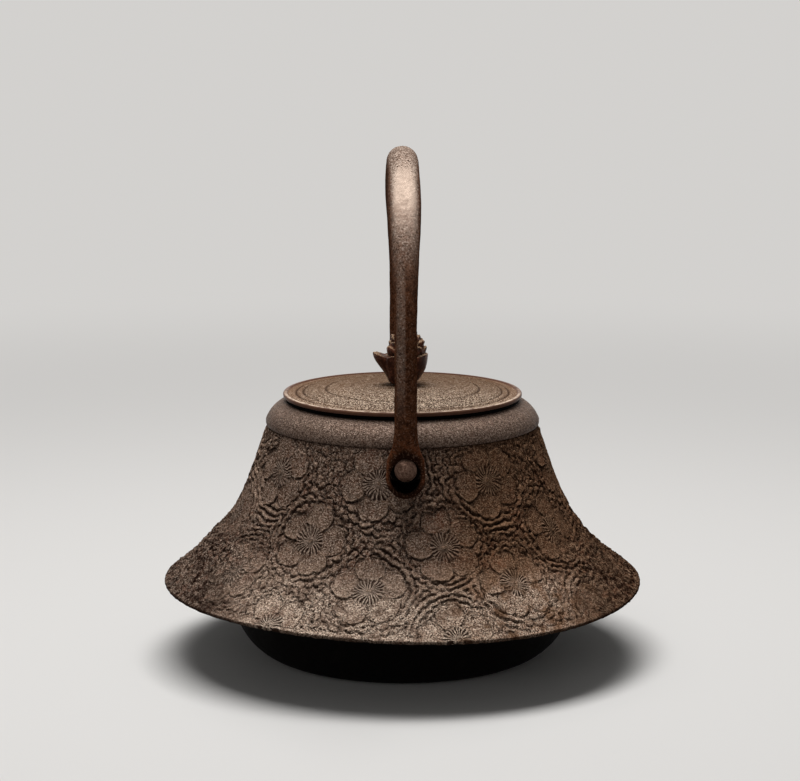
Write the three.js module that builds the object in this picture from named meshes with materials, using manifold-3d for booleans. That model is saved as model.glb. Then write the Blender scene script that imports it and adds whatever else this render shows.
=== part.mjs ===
// A cast-iron water kettle with a wide skirt, a dished base, a lift-off lid and a bail handle.
// Millimetres, +Z up. The origin is the centre of the flat face that the kettle stands on.
// The spout points along +Y, and the handle's plane is the YZ plane.
import * as THREE from "three";
import { mergeVertices } from "three/addons/utils/BufferGeometryUtils.js";
import Module from "manifold-3d";

const wasm = await Module();
wasm.setup();

const point = (r, z) => new THREE.Vector2(r, z);
const lerp = THREE.MathUtils.lerp;

// Driving dimensions of the vessel
const BASE_FLAT_RADIUS = 52; // the flat that stands on the table
const BASIN_RADIUS = 75.8; // outside of the upright vessel wall behind the skirt
const BASIN_HEIGHT = 36; // where the dished base turns upright
const WALL = 3.5;
const FLOOR = 4;
const SKIRT_THICKNESS = 3.4;
const FLARE_TOP_RADIUS = 57.6;
const FLARE_TOP_Z = 99.9;
const FLARE_BOTTOM_Z = 34;
const FLARE_LEAN = 21.5; // straight part of the widening, from top to bottom
const FLARE_SPREAD = 23.3; // curved part of the widening
const FLARE_POWER = 4.15;
const RIM_SHARE = 0.992; // how far down the flare the rounded edge starts

// Driving dimensions of the shoulder and the mouth
const BAND_STEP = 0.6; // how far the plain shoulder band stands out of the flare
const BAND_LIP = 1.4; // upright lower edge of the band
const BAND_BULGE = 1.4;
const SHOULDER_TOP_RADIUS = 49.5;
const SHOULDER_TOP_Z = 109.8;
const MOUTH_RADIUS = 43.5;
const MOUTH_RING_WIDTH = 4;
const MOUTH_RING_HEIGHT = 1.4;

// Driving dimensions of the spout
const SPOUT_RISE = 50; // degrees above the horizontal
const SPOUT_ROOT_Y = 58;
const SPOUT_ROOT_Z = 50.7;
const SPOUT_LENGTH = 54.4;
const SPOUT_ROOT_RADIUS = 12.2;
const SPOUT_TIP_RADIUS = 7.8;
const SPOUT_LIP_RADIUS = 8.7;
const SPOUT_LIP_LENGTH = 3.2;
const SPOUT_BORE_ROOT = 8.4;
const SPOUT_BORE_TIP = 6.2;

// Driving dimensions of the two lugs that carry the handle
const PIVOT_DROP = 6.4; // the handle's axis below the top of the flare
const LUG_RADIUS = 3.2;
const LUG_HEAD_RADIUS = 4.9;
const LUG_HEAD_HEIGHT = 4.8;
const LUG_PEEN_RADIUS = 4.8;
const LUG_PEEN_HEIGHT = 1.6;
const BOSS_RADIUS = 6.8;
const BOSS_STAND = 4.7; // out of the wall, measured at the handle's axis
const BOSS_INNER_STAND = 1.6; // the same on the inside of the wall

// Driving dimensions of the handle
const EYE_THICKNESS = 5.2;
const EYE_HOLE_HALF_WIDTH = 5.7;
const EYE_HOLE_HALF_HEIGHT = 6.7;
const EYE_RING_WIDTH = 2.3;
const EYE_BEVEL = 0.6;
const HOOP_OUTSET = 2.6; // how far the legs stand out beyond the middle of the eyes
const HOOP_RISE = 47.5; // the arch's centre above the handle's axis
const LEG_BEND_HEIGHT = 15; // where the leg is round and stands straight, above the eye
const LEG_RADIUS = 5;
const GRIP_RADIUS = 6.8;

// Driving dimensions of the lid
const LID_RADIUS = 50.8;
const LID_RIM = 1.8;
const LID_BEAD_WIDTH = 1.8;
const LID_BEAD_HEIGHT = 0.4;
const LID_CROWN = 3.4; // rise of the middle above the bead
const LID_PLATE = 2.6;
const LID_FLANGE_WIDTH = 2.6;
const LID_FLANGE_DEPTH = 7;

// Driving dimensions of the flower knob and its washer
const TANG_RADIUS = 2.3;
const RIVET_RADIUS = 3.8;
const RIVET_HEIGHT = 1.5;
const WASHER_RADIUS = 7;
const WASHER_THICKNESS = 1.2;
const KNOB_FOOT_RADIUS = 4.6;
const KNOB_OFFSET = 1.2; // the blossom leans to +X over its foot
const KNOB_HEIGHT = 24.8;
const KNOB_CUP_RADIUS = 9.4;
const KNOB_CUP_HEIGHT = 12.9;
const KNOB_LIP_REACH = 4.2; // how far the pointed petal stands out of the cup

// Driving dimensions of the small iron plates on the inside of the floor
const PLATE_COUNT = 3;
const PLATE_RADIUS = 8;
const PLATE_THICKNESS = 2;
const PLATE_CIRCLE_RADIUS = 27;

// Clearances
const SEAT_GAP = 0.3; // between a piece and the face that it rests on
const RUNNING_GAP = 0.4; // beside the handle's eyes
const LID_FIT = 0.7; // between the lid's flange and the mouth

// How finely round shapes are cut
const ROUND_SIDES = 48;
const SMALL_SIDES = 20;
const HANDLE_SIDES = 12;
const HANDLE_ARCH_STEPS = 26;
const KNOB_SIDES = 36;
const FLARE_STEPS = 14;
const CURVE_STEPS = 7;
const RIM_STEPS = 5;

// Worked out from the above
const PIVOT_Z = FLARE_TOP_Z - PIVOT_DROP;
const WALL_AT_PIVOT = flarePoint(PIVOT_DROP / (FLARE_TOP_Z - FLARE_BOTTOM_Z)).x;
const BOSS_FACE_Y = WALL_AT_PIVOT + BOSS_STAND;
const BOSS_INNER_Y = WALL_AT_PIVOT - WALL - BOSS_INNER_STAND;
const MOUTH_TOP_Z = SHOULDER_TOP_Z + MOUTH_RING_HEIGHT;
const LID_UNDERSIDE_Z = MOUTH_TOP_Z + SEAT_GAP;
const LID_EDGE_Z = LID_UNDERSIDE_Z + LID_RIM;
const LID_TOP_Z = LID_EDGE_Z - LID_BEAD_HEIGHT + LID_CROWN;
const EYE_CENTRE_Z = PIVOT_Z + LUG_RADIUS + SEAT_GAP - EYE_HOLE_HALF_HEIGHT;
const EYE_HALF_WIDTH = EYE_HOLE_HALF_WIDTH + EYE_RING_WIDTH;
const EYE_HALF_HEIGHT = EYE_HOLE_HALF_HEIGHT + EYE_RING_WIDTH;
const EYE_INNER_Y = BOSS_FACE_Y + RUNNING_GAP;
const EYE_MID_Y = EYE_INNER_Y + EYE_THICKNESS / 2;
const HEAD_Y = EYE_INNER_Y + EYE_THICKNESS + RUNNING_GAP;
const HOOP_RADIUS = EYE_MID_Y + HOOP_OUTSET;
const HOOP_CENTRE_Z = PIVOT_Z + HOOP_RISE;
const FLANGE_RADIUS = MOUTH_RADIUS - LID_FIT;

// Shared ways of making a solid

function turned(profile, sides = ROUND_SIDES) {
  return new THREE.LatheGeometry(profile, sides).rotateX(Math.PI / 2);
}

function solidOf(geometry) {
  const bare = geometry.clone();
  bare.deleteAttribute("normal");
  bare.deleteAttribute("uv");
  const merged = mergeVertices(bare, 1e-4);
  return new wasm.Manifold(
    new wasm.Mesh({
      numProp: 3,
      vertProperties: new Float32Array(merged.attributes.position.array),
      triVerts: new Uint32Array(merged.index.array),
    }),
  );
}

function geometryOf(solid) {
  const mesh = solid.getMesh();
  const geometry = new THREE.BufferGeometry();
  geometry.setAttribute("position", new THREE.BufferAttribute(mesh.vertProperties, 3));
  geometry.setIndex(new THREE.BufferAttribute(mesh.triVerts, 1));
  geometry.computeVertexNormals();
  return geometry;
}

// A straight round bar along +Y or -Y, from one distance from the middle to another.
function barAlongY(radius, from, to, z, side, sides = SMALL_SIDES) {
  const bar = new THREE.CylinderGeometry(radius, radius, to - from, sides);
  return bar.translate(0, (side * (from + to)) / 2, z);
}

// Joins rings of equal counts into one closed skin, with a point at each end.
function skin(start, rings, end) {
  const count = rings[0].length;
  const corners = [start, ...rings.flat(), end];
  const faces = [];
  const at = (ring, k) => 1 + ring * count + (k % count);
  for (let k = 0; k < count; k++) {
    faces.push(0, at(0, k + 1), at(0, k));
    for (let ring = 0; ring + 1 < rings.length; ring++) {
      faces.push(at(ring, k), at(ring, k + 1), at(ring + 1, k + 1));
      faces.push(at(ring, k), at(ring + 1, k + 1), at(ring + 1, k));
    }
    faces.push(corners.length - 1, at(rings.length - 1, k), at(rings.length - 1, k + 1));
  }
  const geometry = new THREE.BufferGeometry().setFromPoints(corners);
  geometry.setIndex(faces);
  geometry.computeVertexNormals();
  return geometry;
}

// Moves a profile sideways by a distance: to the left of its direction where the distance is positive.
function offset(profile, distance) {
  return profile.map((p, i) => {
    const before = profile[Math.max(0, i - 1)];
    const after = profile[Math.min(profile.length - 1, i + 1)];
    const along = after.clone().sub(before).normalize();
    return point(p.x - along.y * distance, p.y + along.x * distance);
  });
}

// The kettle body

function flarePoint(share) {
  const radius = FLARE_TOP_RADIUS + FLARE_LEAN * share + FLARE_SPREAD * share ** FLARE_POWER;
  return point(radius, lerp(FLARE_TOP_Z, FLARE_BOTTOM_Z, share));
}

// From the shoulder band down to the rounded edge, closer together where it turns.
function flareProfile() {
  const steps = Array.from({ length: FLARE_STEPS + 1 }, (_, i) => i / FLARE_STEPS);
  return steps.map((s) => flarePoint(RIM_SHARE * Math.sin((s * Math.PI) / 2) ** 0.9));
}

function basinProfile() {
  const curve = new THREE.CubicBezierCurve(
    point(BASE_FLAT_RADIUS, 0),
    point(BASE_FLAT_RADIUS + 12, BASIN_HEIGHT / 30),
    point(BASIN_RADIUS - 0.8, BASIN_HEIGHT * 0.36),
    point(BASIN_RADIUS, BASIN_HEIGHT),
  );
  return curve.getPoints(CURVE_STEPS);
}

function skirtUnderside(flare) {
  const under = offset(flare, -SKIRT_THICKNESS).reverse();
  return under.filter((p) => p.x > BASIN_RADIUS + 0.5);
}

function skirtEdge(flare) {
  const top = flare[flare.length - 1];
  const inward = offset(flare, -SKIRT_THICKNESS / 2)[flare.length - 1];
  const spoke = top.clone().sub(inward);
  const arc = [];
  for (let i = 1; i < RIM_STEPS; i++) {
    const turn = (-Math.PI * i) / RIM_STEPS;
    arc.push(spoke.clone().rotateAround(point(0, 0), turn).add(inward));
  }
  return arc.reverse();
}

function shoulderProfile() {
  const bandRadius = FLARE_TOP_RADIUS + BAND_STEP;
  const low = point(bandRadius, FLARE_TOP_Z + BAND_STEP + BAND_LIP);
  const high = point(SHOULDER_TOP_RADIUS, SHOULDER_TOP_Z);
  const outward = point(high.y - low.y, low.x - high.x).normalize();
  const pull = low.clone().add(high).multiplyScalar(0.5).addScaledVector(outward, 2 * BAND_BULGE);
  const roll = new THREE.QuadraticBezierCurve(low, pull, high).getPoints(CURVE_STEPS - 1);
  return [point(bandRadius, FLARE_TOP_Z + BAND_STEP), ...roll];
}

function vesselOutside() {
  const flare = flareProfile();
  const basin = basinProfile();
  const under = skirtUnderside(flare);
  const root = point(BASIN_RADIUS, under[under.length - 1].y - 1);
  const ringRadius = MOUTH_RADIUS + MOUTH_RING_WIDTH;
  return turned([
    point(0, 0),
    ...basin,
    root,
    ...under.reverse(),
    ...skirtEdge(flare),
    ...flare.reverse(),
    ...shoulderProfile(),
    point(ringRadius, SHOULDER_TOP_Z),
    point(ringRadius, MOUTH_TOP_Z),
    point(0, MOUTH_TOP_Z),
  ]);
}

function vesselInside() {
  const wallRadius = BASIN_RADIUS - WALL;
  const basin = offset(basinProfile(), WALL).filter((p) => p.y > FLOOR + 0.5);
  const sides = offset(flareProfile(), -WALL).filter((p) => p.x < wallRadius - 0.5);
  const shoulder = offset([...shoulderProfile()].slice(2), WALL).filter((p) => p.x > MOUTH_RADIUS + 2);
  return turned([
    point(0, FLOOR),
    point(BASE_FLAT_RADIUS, FLOOR),
    ...basin,
    point(wallRadius, sides[sides.length - 1].y - 4),
    ...sides.reverse(),
    ...shoulder,
    point(MOUTH_RADIUS, shoulder[shoulder.length - 1].y),
    point(MOUTH_RADIUS, MOUTH_TOP_Z + WALL),
    point(0, MOUTH_TOP_Z + WALL),
  ]);
}

// Turns a shape made along +Z so that it runs up the spout's own line.
function alongSpout(geometry) {
  geometry.rotateX(-THREE.MathUtils.degToRad(90 - SPOUT_RISE));
  return geometry.translate(0, SPOUT_ROOT_Y, SPOUT_ROOT_Z);
}

function spoutOutside() {
  const lipStart = SPOUT_LENGTH - SPOUT_LIP_LENGTH;
  return alongSpout(
    turned(
      [
        point(0, 0),
        point(SPOUT_ROOT_RADIUS, 0),
        point(SPOUT_TIP_RADIUS, lipStart),
        point(SPOUT_LIP_RADIUS, lipStart + SPOUT_LIP_LENGTH / 3),
        point(SPOUT_LIP_RADIUS, SPOUT_LENGTH),
        point(0, SPOUT_LENGTH),
      ],
      SMALL_SIDES,
    ),
  );
}

function spoutBore() {
  return alongSpout(
    turned(
      [
        point(0, -WALL),
        point(SPOUT_BORE_ROOT, -WALL),
        point(SPOUT_BORE_TIP, SPOUT_LENGTH - SPOUT_LIP_LENGTH),
        point(SPOUT_BORE_TIP, SPOUT_LENGTH + WALL),
        point(0, SPOUT_LENGTH + WALL),
      ],
      SMALL_SIDES,
    ),
  );
}

function kettleBody() {
  let body = solidOf(vesselOutside()).add(solidOf(spoutOutside()));
  body = body.subtract(solidOf(vesselInside()));
  for (const side of [-1, 1]) {
    const boss = barAlongY(BOSS_RADIUS, BOSS_INNER_Y, BOSS_FACE_Y, PIVOT_Z, side);
    body = body.add(solidOf(boss));
  }
  for (const side of [-1, 1]) {
    const holeRadius = LUG_RADIUS + SEAT_GAP;
    const hole = barAlongY(holeRadius, BOSS_INNER_Y - WALL, BOSS_FACE_Y + WALL, PIVOT_Z, side);
    body = body.subtract(solidOf(hole));
  }
  return geometryOf(body.subtract(solidOf(spoutBore())));
}

// The lugs: a domed pin through the wall, peened over on the inside

function lug() {
  const peenY = BOSS_INNER_Y - SEAT_GAP;
  const dome = [];
  for (let i = 0; i < CURVE_STEPS; i++) {
    const angle = (Math.PI / 2) * (i / CURVE_STEPS);
    const rise = HEAD_Y + LUG_HEAD_HEIGHT * Math.sin(angle);
    dome.push(point(LUG_HEAD_RADIUS * Math.cos(angle), rise));
  }
  return turned(
    [
      point(0, peenY - LUG_PEEN_HEIGHT),
      point(LUG_PEEN_RADIUS - 1, peenY - LUG_PEEN_HEIGHT),
      point(LUG_PEEN_RADIUS, peenY - LUG_PEEN_HEIGHT / 2),
      point(LUG_PEEN_RADIUS, peenY),
      point(LUG_RADIUS, peenY),
      point(LUG_RADIUS, HEAD_Y),
      ...dome,
      point(0, HEAD_Y + LUG_HEAD_HEIGHT),
    ],
    SMALL_SIDES,
  );
}

// The handle: two eyes, two legs and an arch that is thickest at the grip

function handleStations() {
  const half = EYE_THICKNESS / 2;
  const wide = EYE_HALF_WIDTH;
  const eyeTop = EYE_CENTRE_Z + EYE_HALF_HEIGHT;
  const straight = eyeTop + LEG_BEND_HEIGHT;
  const outward = (share) => lerp(EYE_MID_Y, HOOP_RADIUS, share);
  const leg = [
    { y: EYE_MID_Y, z: EYE_CENTRE_Z + 1, wide: wide * 0.96, deep: half, square: 1 },
    { y: EYE_MID_Y, z: lerp(EYE_CENTRE_Z, eyeTop, 0.5), wide: wide * 0.99, deep: half, square: 1 },
    { y: EYE_MID_Y, z: lerp(EYE_CENTRE_Z, eyeTop, 0.75), wide: wide * 0.97, deep: half, square: 1 },
    { y: EYE_MID_Y, z: eyeTop - 0.7, wide: wide * 0.91, deep: half, square: 0.9 },
    { y: outward(0.12), z: lerp(eyeTop, straight, 0.11), wide: wide * 0.8, deep: half * 1.06, square: 0.7 },
    { y: outward(0.35), z: lerp(eyeTop, straight, 0.28), wide: LEG_RADIUS * 1.1, deep: half * 1.25, square: 0.4 },
    { y: outward(0.8), z: lerp(eyeTop, straight, 0.56), wide: LEG_RADIUS, deep: LEG_RADIUS * 0.88, square: 0.1 },
    { y: HOOP_RADIUS, z: straight, wide: LEG_RADIUS, deep: LEG_RADIUS, square: 0 },
    { y: HOOP_RADIUS, z: lerp(straight, HOOP_CENTRE_Z, 0.5), wide: LEG_RADIUS, deep: LEG_RADIUS, square: 0 },
  ];
  const arch = [];
  for (let i = 0; i <= HANDLE_ARCH_STEPS; i++) {
    const angle = (Math.PI * i) / HANDLE_ARCH_STEPS;
    const thick = lerp(LEG_RADIUS, GRIP_RADIUS, Math.sin(angle));
    const y = -HOOP_RADIUS * Math.cos(angle);
    const z = HOOP_CENTRE_Z + HOOP_RADIUS * Math.sin(angle);
    arch.push({ y, z, wide: thick, deep: thick, square: 0, tilt: Math.PI / 2 - angle });
  }
  const near = leg.map((s) => ({ ...s, y: -s.y, tilt: Math.PI / 2 }));
  const far = [...leg].reverse().map((s) => ({ ...s, tilt: -Math.PI / 2 }));
  return [...near, ...arch, ...far];
}

// One ring of the handle's section, square to a centreline that climbs at the station's tilt.
// The section is round where square is 0 and nearly a rectangle where it is 1.
function handleRing({ y, z, wide, deep, square, tilt }) {
  const ring = [];
  const fold = (value) => Math.sign(value) * Math.abs(value) ** (1 - 0.6 * square);
  for (let k = 0; k < HANDLE_SIDES; k++) {
    const turn = (2 * Math.PI * (k + 0.5)) / HANDLE_SIDES;
    const across = deep * fold(Math.sin(turn));
    ring.push(
      new THREE.Vector3(
        wide * fold(Math.cos(turn)),
        y + across * Math.sin(tilt),
        z - across * Math.cos(tilt),
      ),
    );
  }
  return ring;
}

// An oval disc that lies in a lug's plane, with its edges taken off.
function eyeDisc(side) {
  const half = EYE_THICKNESS / 2;
  const disc = turned(
    [
      point(0, -half),
      point(EYE_HALF_WIDTH - EYE_BEVEL, -half),
      point(EYE_HALF_WIDTH, -half + EYE_BEVEL),
      point(EYE_HALF_WIDTH, half - EYE_BEVEL),
      point(EYE_HALF_WIDTH - EYE_BEVEL, half),
      point(0, half),
    ],
    SMALL_SIDES + 4,
  );
  disc.rotateX(Math.PI / 2).scale(1, 1, EYE_HALF_HEIGHT / EYE_HALF_WIDTH);
  return disc.translate(0, side * EYE_MID_Y, EYE_CENTRE_Z);
}

function eyeHole(side) {
  const from = EYE_INNER_Y - EYE_THICKNESS;
  const hole = barAlongY(EYE_HOLE_HALF_WIDTH, from, HEAD_Y + EYE_THICKNESS, 0, side, SMALL_SIDES + 4);
  hole.scale(1, 1, EYE_HOLE_HALF_HEIGHT / EYE_HOLE_HALF_WIDTH);
  return hole.translate(0, 0, EYE_CENTRE_Z);
}

function handle() {
  const stations = handleStations();
  const ends = [stations[0], stations[stations.length - 1]].map((s) => new THREE.Vector3(0, s.y, s.z));
  let bail = solidOf(skin(ends[0], stations.map(handleRing), ends[1]));
  for (const side of [-1, 1]) {
    bail = bail.add(solidOf(eyeDisc(side)));
  }
  for (const side of [-1, 1]) {
    bail = bail.subtract(solidOf(eyeHole(side)));
  }
  return geometryOf(bail);
}

// The lid

function lidCrown(radius, top, field) {
  return top - LID_CROWN * (radius / field) ** 2;
}

function lid() {
  const field = LID_RADIUS - LID_BEAD_WIDTH;
  const flangeInner = FLANGE_RADIUS - LID_FLANGE_WIDTH;
  const holeRadius = TANG_RADIUS + SEAT_GAP;
  const flangeFoot = LID_UNDERSIDE_Z - LID_FLANGE_DEPTH;
  const radii = Array.from({ length: CURVE_STEPS }, (_, i) => i / CURVE_STEPS);
  const under = radii.map((s) => lerp(holeRadius, flangeInner - 1, s));
  const over = radii.map((s) => lerp(field, holeRadius, s));
  const profile = [
    ...under.map((r) => point(r, lidCrown(r, LID_TOP_Z - LID_PLATE, field))),
    point(flangeInner, lidCrown(flangeInner, LID_TOP_Z - LID_PLATE, field) - 0.6),
    point(flangeInner, flangeFoot),
    point(FLANGE_RADIUS - 0.8, flangeFoot),
    point(FLANGE_RADIUS, flangeFoot + 0.8),
    point(FLANGE_RADIUS, LID_UNDERSIDE_Z),
    point(LID_RADIUS - 0.5, LID_UNDERSIDE_Z),
    point(LID_RADIUS, LID_UNDERSIDE_Z + 0.5),
    point(LID_RADIUS, LID_EDGE_Z - 0.5),
    point(LID_RADIUS - 0.6, LID_EDGE_Z),
    point(field + 0.4, LID_EDGE_Z),
    ...over.map((r) => point(r, lidCrown(r, LID_TOP_Z, field))),
    point(holeRadius, LID_TOP_Z),
  ];
  return turned([...profile, profile[0].clone()]);
}

// The washer under the lid

function washer() {
  const top = LID_TOP_Z - LID_PLATE - SEAT_GAP;
  const inner = TANG_RADIUS + SEAT_GAP;
  const low = top - WASHER_THICKNESS;
  const profile = [
    point(inner, low),
    point(WASHER_RADIUS - 0.4, low),
    point(WASHER_RADIUS, low + 0.4),
    point(WASHER_RADIUS, top - 0.4),
    point(WASHER_RADIUS - 0.4, top),
    point(inner, top),
  ];
  return turned([...profile, profile[0].clone()], SMALL_SIDES);
}

// The knob: a half-open blossom on a riveted tang

// The blossom's plain radius at a height above its foot, petals left out.
function blossomRadius(height) {
  const cup = KNOB_CUP_HEIGHT;
  if (height <= cup) {
    const share = height / cup;
    return lerp(KNOB_FOOT_RADIUS, KNOB_CUP_RADIUS, Math.sin((share * Math.PI) / 2));
  }
  const share = (height - cup) / (KNOB_HEIGHT - cup);
  return KNOB_CUP_RADIUS * 0.97 * Math.sqrt(Math.max(0, 1 - share ** 2.2));
}

// Petals: five broad ones round the cup, and rows of small ones, set off from row to row, above it.
function petalSwell(turn, height) {
  if (height < KNOB_CUP_HEIGHT) {
    return 0.05 * Math.abs(Math.cos(2.5 * turn)) * (height / KNOB_CUP_HEIGHT);
  }
  const row = Math.floor((height - KNOB_CUP_HEIGHT) / 3);
  const within = (height - KNOB_CUP_HEIGHT) / 3 - row;
  const lobes = 8 - row;
  const lobe = Math.abs(Math.cos((lobes * (turn + row * 0.7)) / 2));
  return 0.14 * lobe * Math.sin(Math.PI * within) - 0.05;
}

function pointedPetal(turn, height) {
  const away = Math.abs(Math.PI - turn) / 0.5;
  const rise = THREE.MathUtils.smoothstep(height, KNOB_CUP_HEIGHT * 0.15, KNOB_CUP_HEIGHT);
  return height > KNOB_CUP_HEIGHT + 0.2 ? 0 : KNOB_LIP_REACH * rise * Math.exp(-away * away);
}

function blossomRing(height) {
  const ring = [];
  const lean = KNOB_OFFSET * THREE.MathUtils.smoothstep(height, 0, KNOB_CUP_HEIGHT / 2);
  for (let k = 0; k < KNOB_SIDES; k++) {
    const turn = (2 * Math.PI * k) / KNOB_SIDES;
    const plain = blossomRadius(height);
    const radius = plain * (1 + petalSwell(turn, height)) + pointedPetal(turn, height);
    const z = LID_TOP_Z + SEAT_GAP + height;
    ring.push(new THREE.Vector3(lean + radius * Math.cos(turn), radius * Math.sin(turn), z));
  }
  return ring;
}

function roundRing(radius, z) {
  return Array.from({ length: KNOB_SIDES }, (_, k) => {
    const turn = (2 * Math.PI * k) / KNOB_SIDES;
    return new THREE.Vector3(radius * Math.cos(turn), radius * Math.sin(turn), z);
  });
}

function knob() {
  const washerLow = LID_TOP_Z - LID_PLATE - SEAT_GAP - WASHER_THICKNESS;
  const rivetTop = washerLow - SEAT_GAP;
  const heights = [0, 2, 4, 6, 8, 10, 11.5, 12.5, KNOB_CUP_HEIGHT];
  for (let row = 0; row < 4; row++) {
    for (const share of [0.15, 0.4, 0.65, 0.9]) {
      heights.push(KNOB_CUP_HEIGHT + Math.min(3 * (row + share), KNOB_HEIGHT - KNOB_CUP_HEIGHT - 0.15));
    }
  }
  const blossom = [...new Set(heights)].map(blossomRing);
  const rings = [
    roundRing(RIVET_RADIUS - 0.8, rivetTop - RIVET_HEIGHT),
    roundRing(RIVET_RADIUS, rivetTop - RIVET_HEIGHT / 2),
    roundRing(RIVET_RADIUS, rivetTop),
    roundRing(TANG_RADIUS, rivetTop),
    roundRing(TANG_RADIUS, LID_TOP_Z + SEAT_GAP),
    ...blossom,
  ];
  const low = new THREE.Vector3(0, 0, rivetTop - RIVET_HEIGHT);
  const high = new THREE.Vector3(KNOB_OFFSET, 0, LID_TOP_Z + SEAT_GAP + KNOB_HEIGHT);
  return skin(low, rings, high);
}

// The small iron plates that are lacquered to the floor and make the boiling kettle sing

function singingPlate() {
  const outline = new THREE.Shape();
  const corners = 9;
  for (let k = 0; k < corners; k++) {
    const turn = (2 * Math.PI * k) / corners;
    const radius = PLATE_RADIUS * (1 + 0.12 * Math.sin(3 * turn + 1) + 0.08 * Math.cos(2 * turn));
    outline[k ? "lineTo" : "moveTo"](radius * Math.cos(turn), radius * Math.sin(turn));
  }
  outline.closePath();
  return new THREE.ExtrudeGeometry(outline, { depth: PLATE_THICKNESS, bevelEnabled: false });
}

// The assembly

const castIron = new THREE.MeshStandardMaterial({ color: 0x3b3230, roughness: 0.78, metalness: 0.55 });
const lidIron = new THREE.MeshStandardMaterial({ color: 0x5a4a40, roughness: 0.7, metalness: 0.55 });
const forgedIron = new THREE.MeshStandardMaterial({ color: 0x4a3328, roughness: 0.55, metalness: 0.6 });
const knobIron = new THREE.MeshStandardMaterial({ color: 0x43251d, roughness: 0.45, metalness: 0.6 });
const plainIron = new THREE.MeshStandardMaterial({ color: 0x35302e, roughness: 0.85, metalness: 0.5 });

const kettle = new THREE.Group();

function addPiece(name, geometry, material, parent = kettle) {
  const mesh = new THREE.Mesh(geometry, material);
  mesh.name = name;
  parent.add(mesh);
  return mesh;
}

addPiece("kettle_body", kettleBody(), castIron);
for (const [name, side] of [["lug_rear", -1], ["lug_spout_side", 1]]) {
  const pin = addPiece(name, lug(), castIron);
  pin.rotation.x = -side * (Math.PI / 2);
  pin.position.z = PIVOT_Z;
}
addPiece("handle", handle(), forgedIron);
addPiece("lid", lid(), lidIron);
addPiece("knob_washer", washer(), plainIron);
addPiece("knob", knob(), knobIron);
for (let i = 0; i < PLATE_COUNT; i++) {
  const place = new THREE.Group();
  place.rotation.z = (2 * Math.PI * i) / PLATE_COUNT + Math.PI / 6;
  kettle.add(place);
  const plate = addPiece("singing_plate_" + (i + 1), singingPlate(), plainIron, place);
  plate.position.set(PLATE_CIRCLE_RADIUS, 0, FLOOR + SEAT_GAP);
}

export default kettle;
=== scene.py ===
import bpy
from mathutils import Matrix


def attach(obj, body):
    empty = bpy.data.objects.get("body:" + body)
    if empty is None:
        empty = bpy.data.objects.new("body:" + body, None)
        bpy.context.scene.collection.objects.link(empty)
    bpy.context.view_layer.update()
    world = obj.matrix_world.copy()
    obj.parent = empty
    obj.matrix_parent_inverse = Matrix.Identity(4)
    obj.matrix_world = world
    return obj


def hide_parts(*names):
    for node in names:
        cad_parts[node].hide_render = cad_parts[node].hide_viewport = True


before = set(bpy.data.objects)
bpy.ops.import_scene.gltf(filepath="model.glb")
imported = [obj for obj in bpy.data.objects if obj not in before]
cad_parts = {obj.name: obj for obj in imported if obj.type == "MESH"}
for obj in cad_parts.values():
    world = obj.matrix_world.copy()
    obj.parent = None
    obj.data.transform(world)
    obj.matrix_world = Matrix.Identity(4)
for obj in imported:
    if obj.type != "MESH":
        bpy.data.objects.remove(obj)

"""The looks of a cast-iron kettle with a wide skirt, a lift-off lid and a bail handle.

Every size is in metres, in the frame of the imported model: +Z up, the spout along +Y, and the handle's plane
the YZ plane. Each sub-assembly is a class that holds its own sizes, models its piece and dresses it.
"""

import logging
import math
from contextlib import contextmanager
from dataclasses import dataclass, field
from enum import Enum
from typing import Iterator, Sequence

import bmesh
import bpy
import numpy as np
from mathutils import Matrix, Vector

MM = 0.001
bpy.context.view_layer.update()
SEED = 41

Point = tuple[float, float]
Colour = tuple[float, float, float]
log = logging.getLogger("kettle")


class Side(Enum):
    """The two ends of the handle's axis."""

    REAR = -1
    SPOUT = 1


class Slot(Enum):
    """Names for the material slots."""

    CAST = "cast_iron"
    LID = "lid_iron"
    FORGED = "forged_iron"
    KNOB = "knob_iron"
    PLAIN = "plain_iron"


# Bench work that every piece shares


def activate(*pieces: bpy.types.Object) -> bpy.types.Object:
    """Select only these objects and make the first one active.

    Args:
        pieces: The objects to work on.

    Returns:
        The first of them.
    """
    bpy.ops.object.select_all(action="DESELECT")
    for piece in pieces:
        piece.select_set(True)
    bpy.context.view_layer.objects.active = pieces[0]
    return pieces[0]


@contextmanager
def editing(piece: bpy.types.Object) -> Iterator[bmesh.types.BMesh]:
    """Open a piece in edit mode with nothing selected, and close it again.

    Args:
        piece: The mesh object to edit.

    Yields:
        The edit mesh, for selecting by place.
    """
    activate(piece)
    bpy.ops.object.mode_set(mode="EDIT")
    bpy.ops.mesh.select_mode(type="VERT")
    bpy.ops.mesh.select_all(action="DESELECT")
    mesh = bmesh.from_edit_mesh(piece.data)
    mesh.verts.ensure_lookup_table()
    yield mesh
    bmesh.update_edit_mesh(piece.data)
    bpy.ops.object.mode_set(mode="OBJECT")


def named(name: str) -> bpy.types.Object:
    """Give the active object and its mesh a name.

    Args:
        name: The piece's name.

    Returns:
        The active object.
    """
    piece = bpy.context.active_object
    piece.name = name
    piece.data.name = name
    return piece


def coordinates(piece: bpy.types.Object) -> np.ndarray:
    """Read a mesh's vertices.

    Args:
        piece: The mesh object.

    Returns:
        One row of x, y and z for each vertex.
    """
    flat = np.empty(len(piece.data.vertices) * 3)
    piece.data.vertices.foreach_get("co", flat)
    return flat.reshape(-1, 3)


def move_vertices(piece: bpy.types.Object, places: np.ndarray) -> None:
    """Write a mesh's vertices back, one row for each vertex."""
    piece.data.vertices.foreach_set("co", places.astype(np.float32).ravel())
    piece.data.update()


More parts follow.
